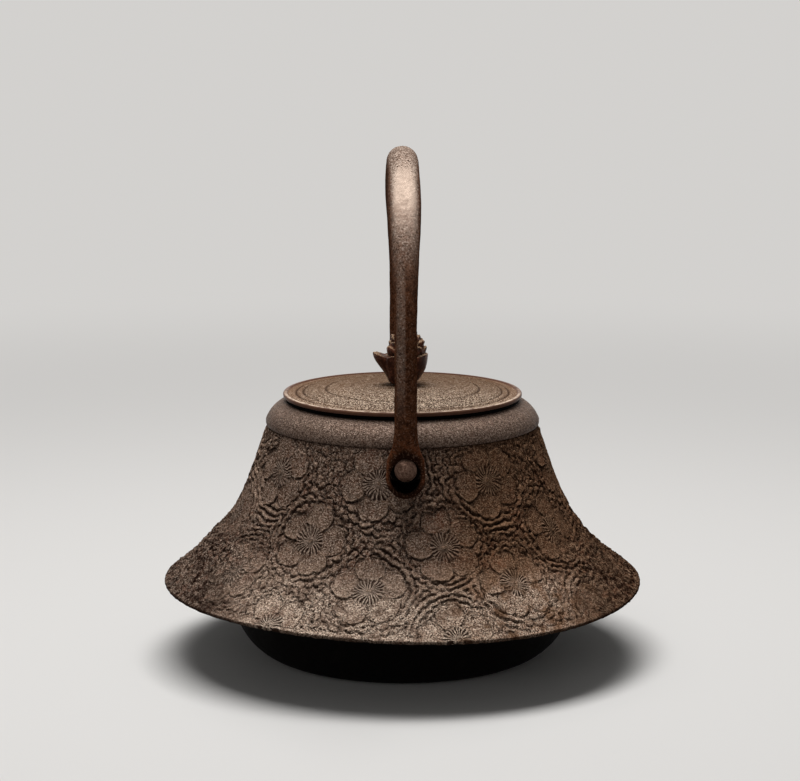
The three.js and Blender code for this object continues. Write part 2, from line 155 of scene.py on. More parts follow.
def apply_modifier(piece: bpy.types.Object, kind: str, **settings: object) -> None:
    """Put a modifier on a piece and apply it.

    Args:
        piece: The piece to change.
        kind: The modifier's type.
        settings: Its properties, by name.
    """
    activate(piece)
    modifier = piece.modifiers.new(kind.title(), kind)
    for key, value in settings.items():
        setattr(modifier, key, value)
    bpy.ops.object.modifier_apply(modifier=modifier.name)


def join(pieces: Sequence[bpy.types.Object], name: str) -> bpy.types.Object:
    """Join objects into one mesh.

    Args:
        pieces: The objects to join.
        name: The name of the result.

    Returns:
        The joined object.
    """
    activate(*pieces)
    bpy.ops.object.join()
    return named(name)


def carve(piece: bpy.types.Object, tool: bpy.types.Object, operation: str) -> None:
    """Unite a piece with a tool, or cut the tool out of it, and throw the tool away.

    Args:
        piece: The piece to change.
        tool: The closed mesh that is added or cut away.
        operation: UNION or DIFFERENCE.
    """
    before = len(piece.data.vertices)
    apply_modifier(piece, "BOOLEAN", object=tool, operation=operation, solver="EXACT")
    bpy.data.objects.remove(tool)
    if len(piece.data.vertices) < before / 2:
        raise RuntimeError(f"{piece.name} lost most of its mesh to a {operation}")


def chain(name: str, points: Sequence[Point]) -> bpy.types.Object:
    """Draw a chain of edges in the XZ plane: one vertex, extruded from point to point.

    Args:
        name: The object's name.
        points: Radius and height of each point.

    Returns:
        The object, its vertices in the order of the points.
    """
    bpy.ops.mesh.primitive_plane_add(size=MM, location=(0, 0, 0))
    piece = named(name)
    with editing(piece):
        bpy.ops.mesh.select_all(action="SELECT")
        bpy.ops.mesh.merge(type="CENTER")
        bpy.ops.transform.translate(value=(points[0][0], 0, points[0][1]))
        for (r0, z0), (r1, z1) in zip(points, points[1:]):
            step = (r1 - r0, 0, z1 - z0)
            bpy.ops.mesh.extrude_region_move(TRANSFORM_OT_translate={"value": step})
    return piece


def turn(name: str, points: Sequence[Point], steps: int) -> bpy.types.Object:
    """Turn a chain once round +Z, and merge its seam and its poles.

    Args:
        name: The object's name.
        points: Radius and height of each point of the profile.
        steps: How many steps make the full turn.

    Returns:
        The turned shell.
    """
    piece = chain(name, points)
    with editing(piece):
        bpy.ops.mesh.select_all(action="SELECT")
        bpy.ops.mesh.spin(steps=steps, angle=2 * math.pi, center=(0, 0, 0), axis=(0, 0, 1), use_auto_merge=True)
        bpy.ops.mesh.select_all(action="SELECT")
        bpy.ops.mesh.remove_doubles(threshold=0.002 * MM)
    return piece


def stretch(name: str, rows: Sequence[Sequence[Sequence[float]]]) -> bpy.types.Object:
    """Lay a grid, and stretch it over rows of points.

    Args:
        name: The object's name.
        rows: The points, in rows of equal length.

    Returns:
        The stretched sheet.
    """
    places = np.array(rows)
    bpy.ops.mesh.primitive_grid_add(
        x_subdivisions=places.shape[1] - 1, y_subdivisions=places.shape[0] - 1, size=MM, location=(0, 0, 0)
    )
    piece = named(name)
    move_vertices(piece, places.reshape(-1, 3))
    return piece


def loft(name: str, rings: Sequence[Sequence[Sequence[float]]]) -> bpy.types.Object:
    """Stretch a grid over rings, merge its seams and close any open end.

    Args:
        name: The object's name.
        rings: The rings, each ending on its first point.

    Returns:
        The closed solid.
    """
    piece = stretch(name, rings)
    with editing(piece):
        bpy.ops.mesh.select_all(action="SELECT")
        bpy.ops.mesh.remove_doubles(threshold=0.002 * MM)
        bpy.ops.mesh.select_all(action="SELECT")
        bpy.ops.mesh.fill_holes(sides=0)
    face_outwards(piece)
    return piece


def face_outwards(piece: bpy.types.Object) -> None:
    """Turn every face of a closed mesh outwards."""
    with editing(piece):
        bpy.ops.mesh.select_all(action="SELECT")
        bpy.ops.mesh.normals_make_consistent(inside=False)


def smooth_shading(piece: bpy.types.Object, angle: float = 40) -> None:
    """Shade a piece smoothly, with edges sharper than an angle in degrees left crisp."""
    activate(piece)
    bpy.ops.object.shade_smooth_by_angle(angle=math.radians(angle))


def smoothstep(low: float, high: float, value: np.ndarray) -> np.ndarray:
    """Ease from 0 at low to 1 at high.

    Args:
        low: Where the ramp starts.
        high: Where it ends.
        value: The values to ease.

    Returns:
        The eased shares.
    """
    share = np.clip((value - low) / (high - low), 0, 1)
    return share * share * (3 - 2 * share)


def arc(centre: Point, radius: float, start: float, end: float, steps: int) -> list[Point]:
    """Points on an arc in the XZ plane.

    Args:
        centre: The arc's centre.
        radius: Its radius.
        start: Its first angle, in degrees from +X towards +Z.
        end: Its last angle.
        steps: How many steps it takes.

    Returns:
        The points, both ends included.
    """
    angles = np.radians(np.linspace(start, end, steps + 1))
    return [(centre[0] + radius * math.cos(a), centre[1] + radius * math.sin(a)) for a in angles]


def close(points: Sequence[Point], step: float = 0.5 * MM) -> np.ndarray:
    """Add points to a profile until they lie close together.

    Args:
        points: The profile.
        step: The greatest distance between two points.

    Returns:
        One row for each point.
    """
    found = [np.array(points[:1])]
    for first, last in zip(points, points[1:]):
        count = max(1, math.ceil(math.dist(first, last) / step))
        found.append(np.linspace(first, last, count + 1)[1:])
    return np.concatenate(found)


def set_attribute(piece: bpy.types.Object, name: str, values: np.ndarray) -> None:
    """Store a number for each vertex, for the finishes to read."""
    attribute = piece.data.attributes.new(name, "FLOAT", "POINT")
    attribute.data.foreach_set("value", values.astype(np.float32))


def cloud(name: str, size: float, depth: int = 2) -> bpy.types.Texture:
    """Make a procedural cloud for unevenness.

    Args:
        name: The texture's name.
        size: The size of its lumps.
        depth: How many finer layers it has.

    Returns:
        The texture.
    """
    texture = bpy.data.textures.new(name, "CLOUDS")
    texture.noise_scale = size
    texture.noise_depth = depth
    return texture


def put_in_place(piece: bpy.types.Object, body: str, slot: Slot, *nodes: str) -> None:
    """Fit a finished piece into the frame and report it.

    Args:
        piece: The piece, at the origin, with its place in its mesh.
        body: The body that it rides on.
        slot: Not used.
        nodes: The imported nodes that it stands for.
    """
    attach(piece, body)
    if nodes:
        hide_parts(*nodes)
    triangles = sum(len(face.vertices) - 2 for face in piece.data.polygons)
    log.info("%s rides on %s: %d triangles", piece.name, body, triangles)


# Finishes


class Surface:
    """A node tree under construction, with short ways of adding the nodes that these finishes need."""

    def __init__(self, name: str) -> None:
        """Start a material with an empty tree and one shader."""
        self.material = bpy.data.materials.new(name)
        self.material.use_nodes = True
        self.tree = self.material.node_tree
        self.shader = self.tree.nodes["Principled BSDF"]
        self.place = self.node("ShaderNodeTexCoord").outputs["Object"]

    def node(self, kind: str, **inputs: object) -> bpy.types.Node:
        """Add a node and set or link its inputs.

        Args:
            kind: The node's type.
            inputs: Values or output sockets for its inputs, by name, with _ for a space.

        Returns:
            The node.
        """
        made = self.tree.nodes.new(kind)
        for key, value in inputs.items():
            self.feed(made.inputs[key.replace("_", " ")], value)
        return made

    def feed(self, socket: bpy.types.NodeSocket, value: object) -> None:
        """Link an output to an input, or set the input's own value."""
        if isinstance(value, bpy.types.NodeSocket):
            self.tree.links.new(value, socket)
        else:
            socket.default_value = value

    def noise(self, size: float, detail: float = 3, roughness: float = 0.55) -> bpy.types.NodeSocket:
        """Noise in object space.

        Args:
            size: The size of its lumps, in metres.
            detail: How many finer layers it has.
            roughness: How strong these are.

        Returns:
            The noise, from 0 to 1.
        """
        made = self.node("ShaderNodeTexNoise", Vector=self.place, Scale=1 / size, Detail=detail, Roughness=roughness)
        return made.outputs["Fac"]

    def cells(self, size: float) -> bpy.types.NodeSocket:
        """The distance from the nearest of many scattered points.

        Args:
            size: The distance between the points, in metres.

        Returns:
            The distance, 0 at a point.
        """
        return self.node("ShaderNodeTexVoronoi", Vector=self.place, Scale=1 / size).outputs["Distance"]

    def number(self, name: str) -> bpy.types.NodeSocket:
        """Read a number that the mesh holds at each vertex."""
        made = self.node("ShaderNodeAttribute")
        made.attribute_name = name
        return made.outputs["Fac"]

    def map(self, name: str) -> bpy.types.NodeSocket:
        """Read a UV map of the mesh."""
        made = self.node("ShaderNodeUVMap")
        made.uv_map = name
        return made.outputs["UV"]

    def ramp(self, value: bpy.types.NodeSocket, low: float, high: float, start: float = 0, end: float = 1) -> bpy.types.NodeSocket:
        """Stretch a range of values to another range, and clamp it there.

        Args:
            value: The values.
            low: The value that gives start.
            high: The value that gives end.
            start: The first result.
            end: The last result.

        Returns:
            The stretched values.
        """
        made = self.node("ShaderNodeMapRange")
        made.interpolation_type = "SMOOTHSTEP"
        for key, number in zip(("From Min", "From Max", "To Min", "To Max"), (low, high, start, end)):
            made.inputs[key].default_value = number
        self.feed(made.inputs["Value"], value)
        return made.outputs["Result"]

    def combine(self, operation: str, first: object, second: object) -> bpy.types.NodeSocket:
        """Do a sum on two values.

        Args:
            operation: The sum, such as MULTIPLY.
            first: A value or an output.
            second: Another.

        Returns:
            The result.
        """
        made = self.node("ShaderNodeMath")
        made.operation = operation
        self.feed(made.inputs[0], first)
        self.feed(made.inputs[1], second)
        return made.outputs["Value"]

    def mix(
        self, share: bpy.types.NodeSocket, first: object, second: object, blend: str = "MIX"
    ) -> bpy.types.NodeSocket:
        """Blend two colours.

        Args:
            share: How much of the second shows.
            first: A colour or an output.
            second: Another.
            blend: How they blend, such as MULTIPLY for a stain.

        Returns:
            The blended colour.
        """
        made = self.node("ShaderNodeMix")
        made.data_type = "RGBA"
        made.blend_type = blend
        self.feed(made.inputs["Factor"], share)
        for socket, value in ((made.inputs[6], first), (made.inputs[7], second)):
            self.feed(socket, (*value, 1.0) if isinstance(value, tuple) else value)
        return made.outputs[2]

    def bump(self, height: bpy.types.NodeSocket, depth: float, below: object = None) -> bpy.types.NodeSocket:
        """Raise the surface by a height.

        Args:
            height: The height, from 0 to 1.
            depth: What 1 stands for, in metres.
            below: A normal that this one is laid over.

        Returns:
            The new normal.
        """
        made = self.node("ShaderNodeBump", Height=height, Distance=depth, Strength=1.0)
        if below is not None:
            self.feed(made.inputs["Normal"], below)
        return made.outputs["Normal"]

    def gloss(self, level: float, tint: Colour) -> None:
        """Set how strong the surface's reflections are, and their tint, which also darkens grazing ones."""
        self.shader.inputs["Specular IOR Level"].default_value = level
        self.shader.inputs["Specular Tint"].default_value = (*tint, 1.0)

    def finish(self, colour: object, roughness: object, metallic: float, normal: object) -> bpy.types.Material:
        """Connect the shader.

        Args:
            colour: The base colour.
            roughness: The roughness.
            metallic: How metallic the surface is.
            normal: The normal.

        Returns:
            The finished material.
        """
        self.feed(self.shader.inputs["Base Color"], (*colour, 1.0) if isinstance(colour, tuple) else colour)
        self.feed(self.shader.inputs["Roughness"], roughness)
        self.feed(self.shader.inputs["Metallic"], metallic)
        self.feed(self.shader.inputs["Normal"], normal)
        return self.material


@dataclass(frozen=True)
class SandCastIron:
    """Iron with the skin of its sand mould: grains with pale grit on their tops, dark gaps between them and some rust,
    and painted shade where it is given a shade attribute.
    """

    name: str
    hollow: Colour
    face: Colour
    crest: Colour
    rust: Colour
    rust_share: float = 0.5
    roughness: float = 0.55
    specular: float = 0.12
    grain: float = 0.95 * MM
    grain_depth: float = 0.3 * MM
    metallic: float = 0.0
    tint: Colour = (0.45, 0.36, 0.30)
    speckle: float = 0.65 * MM
    speckled: float = 0.6
    shaded: str = ""
    mottle_depth: float = 0.25 * MM
    mottled: float = 0.6

    def skin(self, surface: Surface) -> tuple[bpy.types.NodeSocket, bpy.types.NodeSocket, bpy.types.NodeSocket]:
        """Mottle the colour.

        Args:
            surface: The tree under construction.

        Returns:
            The colour, the fine noise and the coarser noise.
        """
        surface.gloss(self.specular, self.tint)
        blotch = surface.noise(16 * MM, 4, 0.6)
        mottle = surface.noise(3 * MM, 5, 0.7)
        grains = surface.cells(self.grain)
        colour = surface.mix(surface.ramp(mottle, 0.36, 0.62, self.mottled, 1), self.hollow, self.face)
        rusty = surface.combine("MULTIPLY", surface.ramp(blotch, 0.52, 0.66), surface.ramp(mottle, 0.35, 0.6))
        colour = surface.mix(surface.combine("MULTIPLY", rusty, self.rust_share), colour, self.rust)
        return colour, grains, mottle

    def grained(self, surface: Surface, colour: bpy.types.NodeSocket, grains: bpy.types.NodeSocket,
                light: object, share: object = 1.0) -> bpy.types.NodeSocket:
        """Lay dark gaps and pale grains over a colour.

        Args:
            surface: The tree under construction.
            colour: The colour below them.
            grains: The distance from the nearest grain.
            light: The pale grains' colour.
            share: How much of them shows.

        Returns:
            The grained colour.
        """
        gap = surface.combine("MULTIPLY", surface.ramp(grains, 0.5, 0.8, 0, 0.8), share)
        pale = surface.combine("MULTIPLY", surface.ramp(grains, 0.4, 0.15), surface.ramp(surface.noise(1.7 * MM, 2), 0.45, 0.65))
        colour = surface.mix(gap, colour, self.hollow)
        colour = surface.mix(surface.combine("MULTIPLY", pale, share), colour, light)
        for size, weight in ((2.1 * self.speckle, 0.45), (self.speckle, 1.0), (0.6 * self.speckle, 0.8)):
            fine = surface.noise(size, 1, 0.5)
            low = surface.combine("MULTIPLY", surface.ramp(fine, 0.475, 0.365, 0, self.speckled * weight), share)
            # Painted shade on the band.
            high = surface.combine("MULTIPLY", surface.ramp(fine, 0.54, 0.66, 0, self.speckled * weight), share)
            colour = surface.mix(high, surface.mix(low, colour, self.hollow), light)
        return colour

    def raised(self, surface: Surface, grains: bpy.types.NodeSocket, mottle: bpy.types.NodeSocket) -> bpy.types.NodeSocket:
        """Raise the grains and the mottles.

        Args:
            surface: The tree under construction.
            grains: The distance from the nearest grain.
            mottle: The coarser noise.

        Returns:
            The normal.
        """
        lumps = surface.ramp(grains, 0.7, 0.0)
        return surface.bump(mottle, self.mottle_depth, surface.bump(lumps, self.grain_depth))

    def material(self) -> bpy.types.Material:
        """Build the node tree.

        Returns:
            The material.
        """
        surface = Surface(self.name)
        colour, grains, mottle = self.skin(surface)
        colour = self.grained(surface, colour, grains, self.crest)
        if self.shaded:
            shade = surface.combine("MULTIPLY", surface.number(self.shaded), surface.ramp(mottle, 0.3, 0.6, 0.2, 0.42))
            colour = surface.mix(shade, colour, self.hollow)
        rough = surface.ramp(mottle, 0.3, 0.7, self.roughness - 0.1, self.roughness + 0.1)
        return surface.finish(colour, rough, self.metallic, self.raised(surface, grains, mottle))


@dataclass(frozen=True)
class ReliefIron(SandCastIron):
    """The cast finish with the blossoms' finest lines, which the mesh is too coarse for, and much painted light and
    shade: painted highlights on the stamens and the petals' edges, painted shade in the crevices, the low places, on
    down-facing slopes, at the ends, on the right side and round the bosses.
    """

    sand: Colour = (0.540, 0.372, 0.270)
    bright: Colour = (0.840, 0.670, 0.530)
    grit: Colour = (0.640, 0.485, 0.382)
    # Multiplied in on the right side: a warm stain and painted shade.
    stain_and_shade: Colour = (0.80, 0.66, 0.53)
    eaten: Colour = (0.300, 0.150, 0.100)
    relief: "Relief" = None

    def material(self) -> bpy.types.Material:
        """Build the node tree.

        Returns:
            The material.
        """
        surface = Surface(self.name)
        colour, grains, mottle = self.skin(surface)
        height = surface.number("crest")
        side = surface.node("ShaderNodeSeparateXYZ", Vector=surface.place).outputs["X"]
        left = surface.ramp(side, -70 * MM, -95 * MM, 0, 0.8)
        red = surface.combine("MAXIMUM", surface.ramp(side, -10 * MM, 50 * MM), left)
        red = surface.combine("MULTIPLY", red, surface.ramp(mottle, 0.42, 0.6))
        # Painted shade: 1 in the middle, falling to 0.25 at the left and right ends; it thins the sand there,
        # strengthens the dark patches and darkens the ends.
        end = surface.ramp(surface.combine("ABSOLUTE", side, 0.0), 50 * MM, 88 * MM, 1, 0.25)
        skirt = surface.combine("MULTIPLY", surface.number("skirt"), surface.ramp(surface.noise(6 * MM, 4), 0.28, 0.55))
        skirt = surface.combine("MULTIPLY", skirt, end)
        colour = surface.mix(surface.combine("MULTIPLY", skirt, 0.8), colour, self.sand)
        colour = surface.mix(surface.combine("MULTIPLY", surface.combine("MULTIPLY", skirt, red), 0.55), colour, self.rust)
        light = surface.mix(skirt, self.grit, self.bright)
        crust = surface.number("crust")
        share = surface.combine("MAXIMUM", skirt, surface.ramp(side, 20 * MM, -30 * MM, 0.45, 0.54))
        share = surface.combine("MAXIMUM", share, surface.ramp(crust, 0, 1, 0, 0.9))
        colour = self.grained(surface, colour, grains, light, share)
        drift = surface.noise(3.4 * MM, 5, 0.7)
        reddened = surface.combine("MULTIPLY", crust, surface.ramp(drift, 0.51, 0.6, 0, 0.45))
        colour = surface.mix(reddened, colour, self.eaten)
        pits = surface.ramp(surface.noise(2.2 * MM, 4, 0.65), 0.51, 0.43, 0, 1)
        colour = surface.mix(surface.combine("MULTIPLY", crust, pits), colour, self.hollow)
        # Dark patches at random, made stronger towards the left and right ends as painted shade.
        patch = surface.combine("MULTIPLY", surface.ramp(surface.noise(11 * MM, 3), 0.48, 0.34, 0, 0.6),
                                surface.ramp(end, 1, 0.25, 0.3, 1))
        colour = surface.mix(patch, colour, self.hollow)
        # Painted shade: the left and right ends darker.
        colour = surface.mix(surface.ramp(end, 0.9, 0.25, 0, 0.45), colour, self.hollow)
        # The relief's tops paler: partly wear, partly painted light.
        worn = surface.ramp(height, 0.6, 0.98, 0, 0.3)
        colour = surface.mix(worn, colour, self.crest)
        # Up-facing slopes paler, partly dust and partly painted light; down-facing slopes darker, as painted shade.
        upturned = surface.number("upturned")
        colour = surface.mix(surface.ramp(upturned, 0.06, 0.42, 0, 0.3), colour, self.crest)
        colour = surface.mix(surface.ramp(upturned, -0.08, -0.4, 0, 0.75), colour, self.hollow)
        rays, gaps, ridge, crevice = self.lines(surface)
        sound = surface.ramp(crust, 0, 1, 1, 0.25)
        crevice = surface.combine("MULTIPLY", surface.combine("MULTIPLY", crevice, surface.number("fade")), sound)
        # Painted shade: the crevices darker on down-facing slopes.
        crevice = surface.combine("MULTIPLY", crevice, surface.ramp(upturned, 0.2, -0.15, 0.3, 1))
        crevice = surface.combine("MULTIPLY", crevice, surface.ramp(surface.noise(4 * MM, 3), 0.38, 0.6, 0.45, 1))
        faint = surface.combine("MULTIPLY", surface.ramp(surface.noise(6 * MM, 2), 0.35, 0.6, 0.55, 1), sound)
        # The stamens pale, partly painted highlight; the gaps between them dark, painted shade.
        colour = surface.mix(surface.combine("MULTIPLY", surface.combine("MULTIPLY", rays, faint), 0.3), colour, light)
        colour = surface.mix(surface.combine("MULTIPLY", surface.combine("MULTIPLY", gaps, faint), 0.92), colour, self.hollow)
        # Painted highlight along the petals' raised edges.
        colour = surface.mix(surface.combine("MULTIPLY", ridge, 0.12), colour, self.crest)
        # Painted shade in the relief's low places.
        colour = surface.mix(surface.ramp(height, 0.3, 0.04, 0, 0.5), colour, self.hollow)
        # Painted shade in the crevices outside the scalloped edges and the petals.
        colour = surface.mix(surface.combine("MULTIPLY", crevice, 0.6), colour, self.hollow)
        # On the right side a warm stain that also darkens, partly real stain and partly painted shade; less on the
        # sandy skirt.
        brown = surface.combine("MULTIPLY", surface.ramp(side, 0, 34 * MM), surface.ramp(skirt, 0, 1, 1, 0.25))
        colour = surface.mix(brown, colour, self.stain_and_shade, "MULTIPLY")
        # Painted shade: nearly black round the bosses.
        colour = surface.mix(surface.number("boss_shade"), colour, (0.0015, 0.001, 0.001))
        rough = surface.ramp(mottle, 0.3, 0.7, self.roughness - 0.1, self.roughness + 0.1)
        normal = self.raised(surface, grains, mottle)
        normal = surface.bump(ridge, 0.3 * MM, normal)
        normal = surface.bump(surface.combine("SUBTRACT", 1.0, crevice), 0.8 * MM, normal)
        return surface.finish(colour, rough, 0.0, surface.bump(rays, 0.8 * MM, normal))

    def ripples(self, surface: Surface, rho: bpy.types.NodeSocket, theta: bpy.types.NodeSocket) -> bpy.types.NodeSocket:
        """Draw the crevice outside each scalloped edge of the ground, where the relief puts its edges; the finish
        paints it dark as shade.

        Args:
            surface: The tree under construction.
            rho: Distance from the blossom's middle.
            theta: Angle round it.

        Returns:
            The crevices, from 0 to 1.
        """
        relief = self.relief
        sums, ramp = surface.combine, surface.ramp
        phases = surface.node("ShaderNodeSeparateXYZ", Vector=surface.map("phases"))
        calm = ramp(sums("SINE", sums("ADD", theta, phases.outputs["X"]), 0.0), 0.4, 0.85, 0, relief.calmest)
        swell = sums("SINE", sums("ADD", sums("MULTIPLY", theta, 3.0), phases.outputs["Y"]), 0.0)
        swell = sums("MULTIPLY", swell, relief.swell)
        reach = sums("MULTIPLY", relief.scallop, sums("SUBTRACT", 1.0, sums("MULTIPLY", calm, 0.85)))
        past_start = sums("SUBTRACT", sums("SUBTRACT", rho, relief.ripple_start), swell)
        before = sums("FLOOR", sums("DIVIDE", past_start, relief.ripple_pitch), 0.0)
        ragged = sums("MULTIPLY", sums("SUBTRACT", surface.noise(1.3 * MM, 2), 0.5), 0.9 * MM)
        crevice = None
        for step in (0.0, 1.0):
            ring = sums("ADD", before, step)
            middle = sums("ADD", sums("MULTIPLY", ring, relief.ripple_pitch), relief.ripple_start)
            lobes = sums("ROUND", sums("MULTIPLY", middle, 2 * math.pi / relief.scallop_width), 0.0)
            sway = sums("ADD", sums("MULTIPLY", theta, 2.0), sums("MULTIPLY", ring, 2.4))
            sway = sums("MULTIPLY", sums("SINE", sums("ADD", sway, phases.outputs["Y"]), 0.0), 1.6)
            angle = sums("ADD", sums("MULTIPLY", sums("MULTIPLY", lobes, theta), 0.5), sway)
            angle = sums("ADD", angle, sums("MULTIPLY", ring, 1.7))
            lobe = sums("POWER", sums("ABSOLUTE", sums("SINE", angle, 0.0), 0.0), 0.6)
            edge = sums("ADD", sums("ADD", middle, swell), sums("MULTIPLY", reach, sums("SUBTRACT", lobe, 0.5)))
            past = sums("ADD", sums("SUBTRACT", rho, edge), ragged)
            line = sums("MULTIPLY", ramp(past, -0.3 * MM, 0.1 * MM), ramp(past, 0.2 * MM, 0.95 * MM, 1, 0))
            line = sums("MULTIPLY", line, sums("GREATER_THAN", ring, -0.5))
            crevice = line if crevice is None else sums("MAXIMUM", crevice, line)
        return crevice

    def lines(self, surface: Surface) -> tuple[bpy.types.NodeSocket, ...]:
        """Draw the stamens, the petals' edges and the ground's crevices from each blossom's own coordinates, for bumps
        and for painted highlight and shade.

        Args:
            surface: The tree under construction.

        Returns:
            The stamens, the gaps between them, the petals' raised edges and the crevices, each from 0 to 1.
        """
        relief = self.relief
        place = surface.map("blossom")
        parts = surface.node("ShaderNodeSeparateXYZ", Vector=place)
        radius = surface.node("ShaderNodeVectorMath")
        radius.operation = "LENGTH"
        surface.feed(radius.inputs[0], place)
        rho = radius.outputs["Value"]
        theta = surface.combine("ARCTAN2", parts.outputs["Y"], parts.outputs["X"])
        wave = surface.combine("COSINE", surface.combine("MULTIPLY", theta, float(relief.stamens)), 0.0)
        wave = surface.combine("ADD", wave, surface.ramp(rho, 1.2 * MM, 3.8 * MM, 1.0, 0))
        ray = surface.ramp(wave, -0.3, 0.5)
        end = surface.combine("MULTIPLY", surface.noise(1.2 * MM, 1), 3.4 * MM)
        end = surface.combine("ADD", end, relief.disc_radius - 2.1 * MM)
        within = surface.combine("MULTIPLY", surface.combine("LESS_THAN", rho, end), surface.ramp(rho, 0.7 * MM, 1.3 * MM))
        rays = surface.combine("MULTIPLY", ray, within)
        gaps = surface.combine("MULTIPLY", surface.combine("SUBTRACT", 1.0, ray), within)
        fifth = 2 * math.pi / 5
        folded = surface.combine("FLOORED_MODULO", surface.combine("ADD", theta, fifth / 2), fifth)
        away = surface.combine("SUBTRACT", folded, fifth / 2)
        out = surface.combine("MULTIPLY", rho, surface.combine("COSINE", away, 0.0))
        out = surface.combine("SUBTRACT", out, relief.petal_reach)
        across = surface.combine("MULTIPLY", rho, surface.combine("SINE", away, 0.0))
        oval = surface.node("ShaderNodeCombineXYZ")
        surface.feed(oval.inputs["X"], surface.combine("DIVIDE", out, relief.petal_length))
        surface.feed(oval.inputs["Y"], surface.combine("DIVIDE", across, relief.petal_width))
        edge = surface.node("ShaderNodeVectorMath")
        edge.operation = "LENGTH"
        surface.feed(edge.inputs[0], oval.outputs["Vector"])
        notch = surface.ramp(surface.combine("ABSOLUTE", across, 0.0), 1.4 * relief.notch_width, 0, 0, 0.34)
        tip = surface.ramp(out, 0.35 * relief.petal_length, 0.95 * relief.petal_length)
        share = surface.combine("ADD", edge.outputs["Value"], surface.combine("MULTIPLY", notch, tip))
        rise, fall = surface.ramp(share, 1.05, 0.98), surface.ramp(share, 0.94, 0.85, 0, 0.7)
        outside_disc = surface.ramp(rho, relief.disc_radius - 0.6 * MM, relief.disc_radius + 0.4 * MM)
        ridge = surface.combine("MULTIPLY", surface.combine("SUBTRACT", rise, fall), outside_disc)
        share = surface.combine("ADD", share, surface.ramp(surface.noise(1.6 * MM, 2), 0.3, 0.7, -0.05, 0.05))
        outline = surface.combine("MULTIPLY", surface.ramp(share, 0.97, 1.04), surface.ramp(share, 1.05, 1.16, 1, 0))
        ground = surface.combine("MULTIPLY", self.ripples(surface, rho, theta), surface.ramp(share, 0.98, 1.05))
        crevice = surface.combine("MULTIPLY", surface.combine("MAXIMUM", ground, outline), outside_disc)
        return rays, gaps, ridge, crevice


@dataclass(frozen=True)
class LidIron(SandCastIron):
    """The lid's finish: a grainy field, grooves painted dark as shade, a ring of staining round the knob and painted
    shade towards the back, and a smooth reddish bead with a painted highlight along its front edge.
    """

    bead: Colour = (0.115, 0.054, 0.037)
    stain_and_shade: Colour = (0.115, 0.060, 0.030)

    def material(self) -> bpy.types.Material:
        """Build the node tree.

        Returns:
            The material.
        """
        surface = Surface(self.name)
        colour, grains, mottle = self.skin(surface)
        sandy = surface.number("field")
        stained_and_shaded = surface.number("stain_and_shade")
        sanded = surface.combine("MULTIPLY", surface.number("sanded"), surface.ramp(stained_and_shaded, 0, 1, 1, 0.55))
        colour = self.grained(surface, colour, grains, self.crest, sanded)
        # A stain round the knob, and painted shade towards the lid's back.
        stain_and_shade = surface.combine("MULTIPLY", stained_and_shaded, surface.ramp(mottle, 0.3, 0.6, 0.55, 1))
        colour = surface.mix(surface.combine("MULTIPLY", stain_and_shade, 0.85), colour, self.stain_and_shade)
        smooth = surface.combine("SUBTRACT", sandy, surface.number("sanded"))
        colour = surface.mix(surface.ramp(smooth, 0, 0.6, 0, 0.35), colour, self.rust)
        # Painted shade: the grooves painted dark.
        colour = surface.mix(surface.combine("MULTIPLY", surface.number("groove"), 0.9), colour, self.hollow)
        edge = surface.mix(surface.ramp(mottle, 0.3, 0.7, 0, 0.35), self.bead, self.rust)
        # Painted highlight, partly wear: a pale line along the bead's front edge.
        rubbed_and_highlight = surface.combine("MULTIPLY", surface.number("rubbed_and_highlight"), surface.ramp(mottle, 0.36, 0.56, 0.15, 0.85))
        colour = surface.mix(sandy, surface.mix(rubbed_and_highlight, edge, self.crest), colour)
        rough = surface.ramp(sandy, 0, 1, 0.3, self.roughness)
        lumps = surface.combine("MULTIPLY", surface.ramp(grains, 0.7, 0.0), surface.ramp(sanded, 0, 1, 0.08, 1))
        return surface.finish(colour, rough, 0.0, surface.bump(lumps, self.grain_depth))


@dataclass(frozen=True)
class SootyIron:
    """Iron that has stood over the fire: a nearly black, dull coat, also laid as painted shade on the bosses' end faces
    and on the ring under the lid's edge.
    """

    name: str
    near_black: Colour = (0.0022, 0.0018, 0.0016)
    ash: Colour = (0.007, 0.0055, 0.005)

    def material(self) -> bpy.types.Material:
        """Build the node tree.

        Returns:
            The material.
        """
        surface = Surface(self.name)
        drift = surface.noise(9 * MM, 5, 0.6)
        grains = surface.noise(0.8 * MM, 3, 0.7)
        colour = surface.mix(surface.ramp(drift, 0.5, 0.8), self.near_black, self.ash)
        rough = surface.ramp(drift, 0.3, 0.7, 0.8, 0.95)
        surface.gloss(0.1, (0.4, 0.4, 0.4))
        return surface.finish(colour, rough, 0.0, surface.bump(grains, 0.12 * MM))


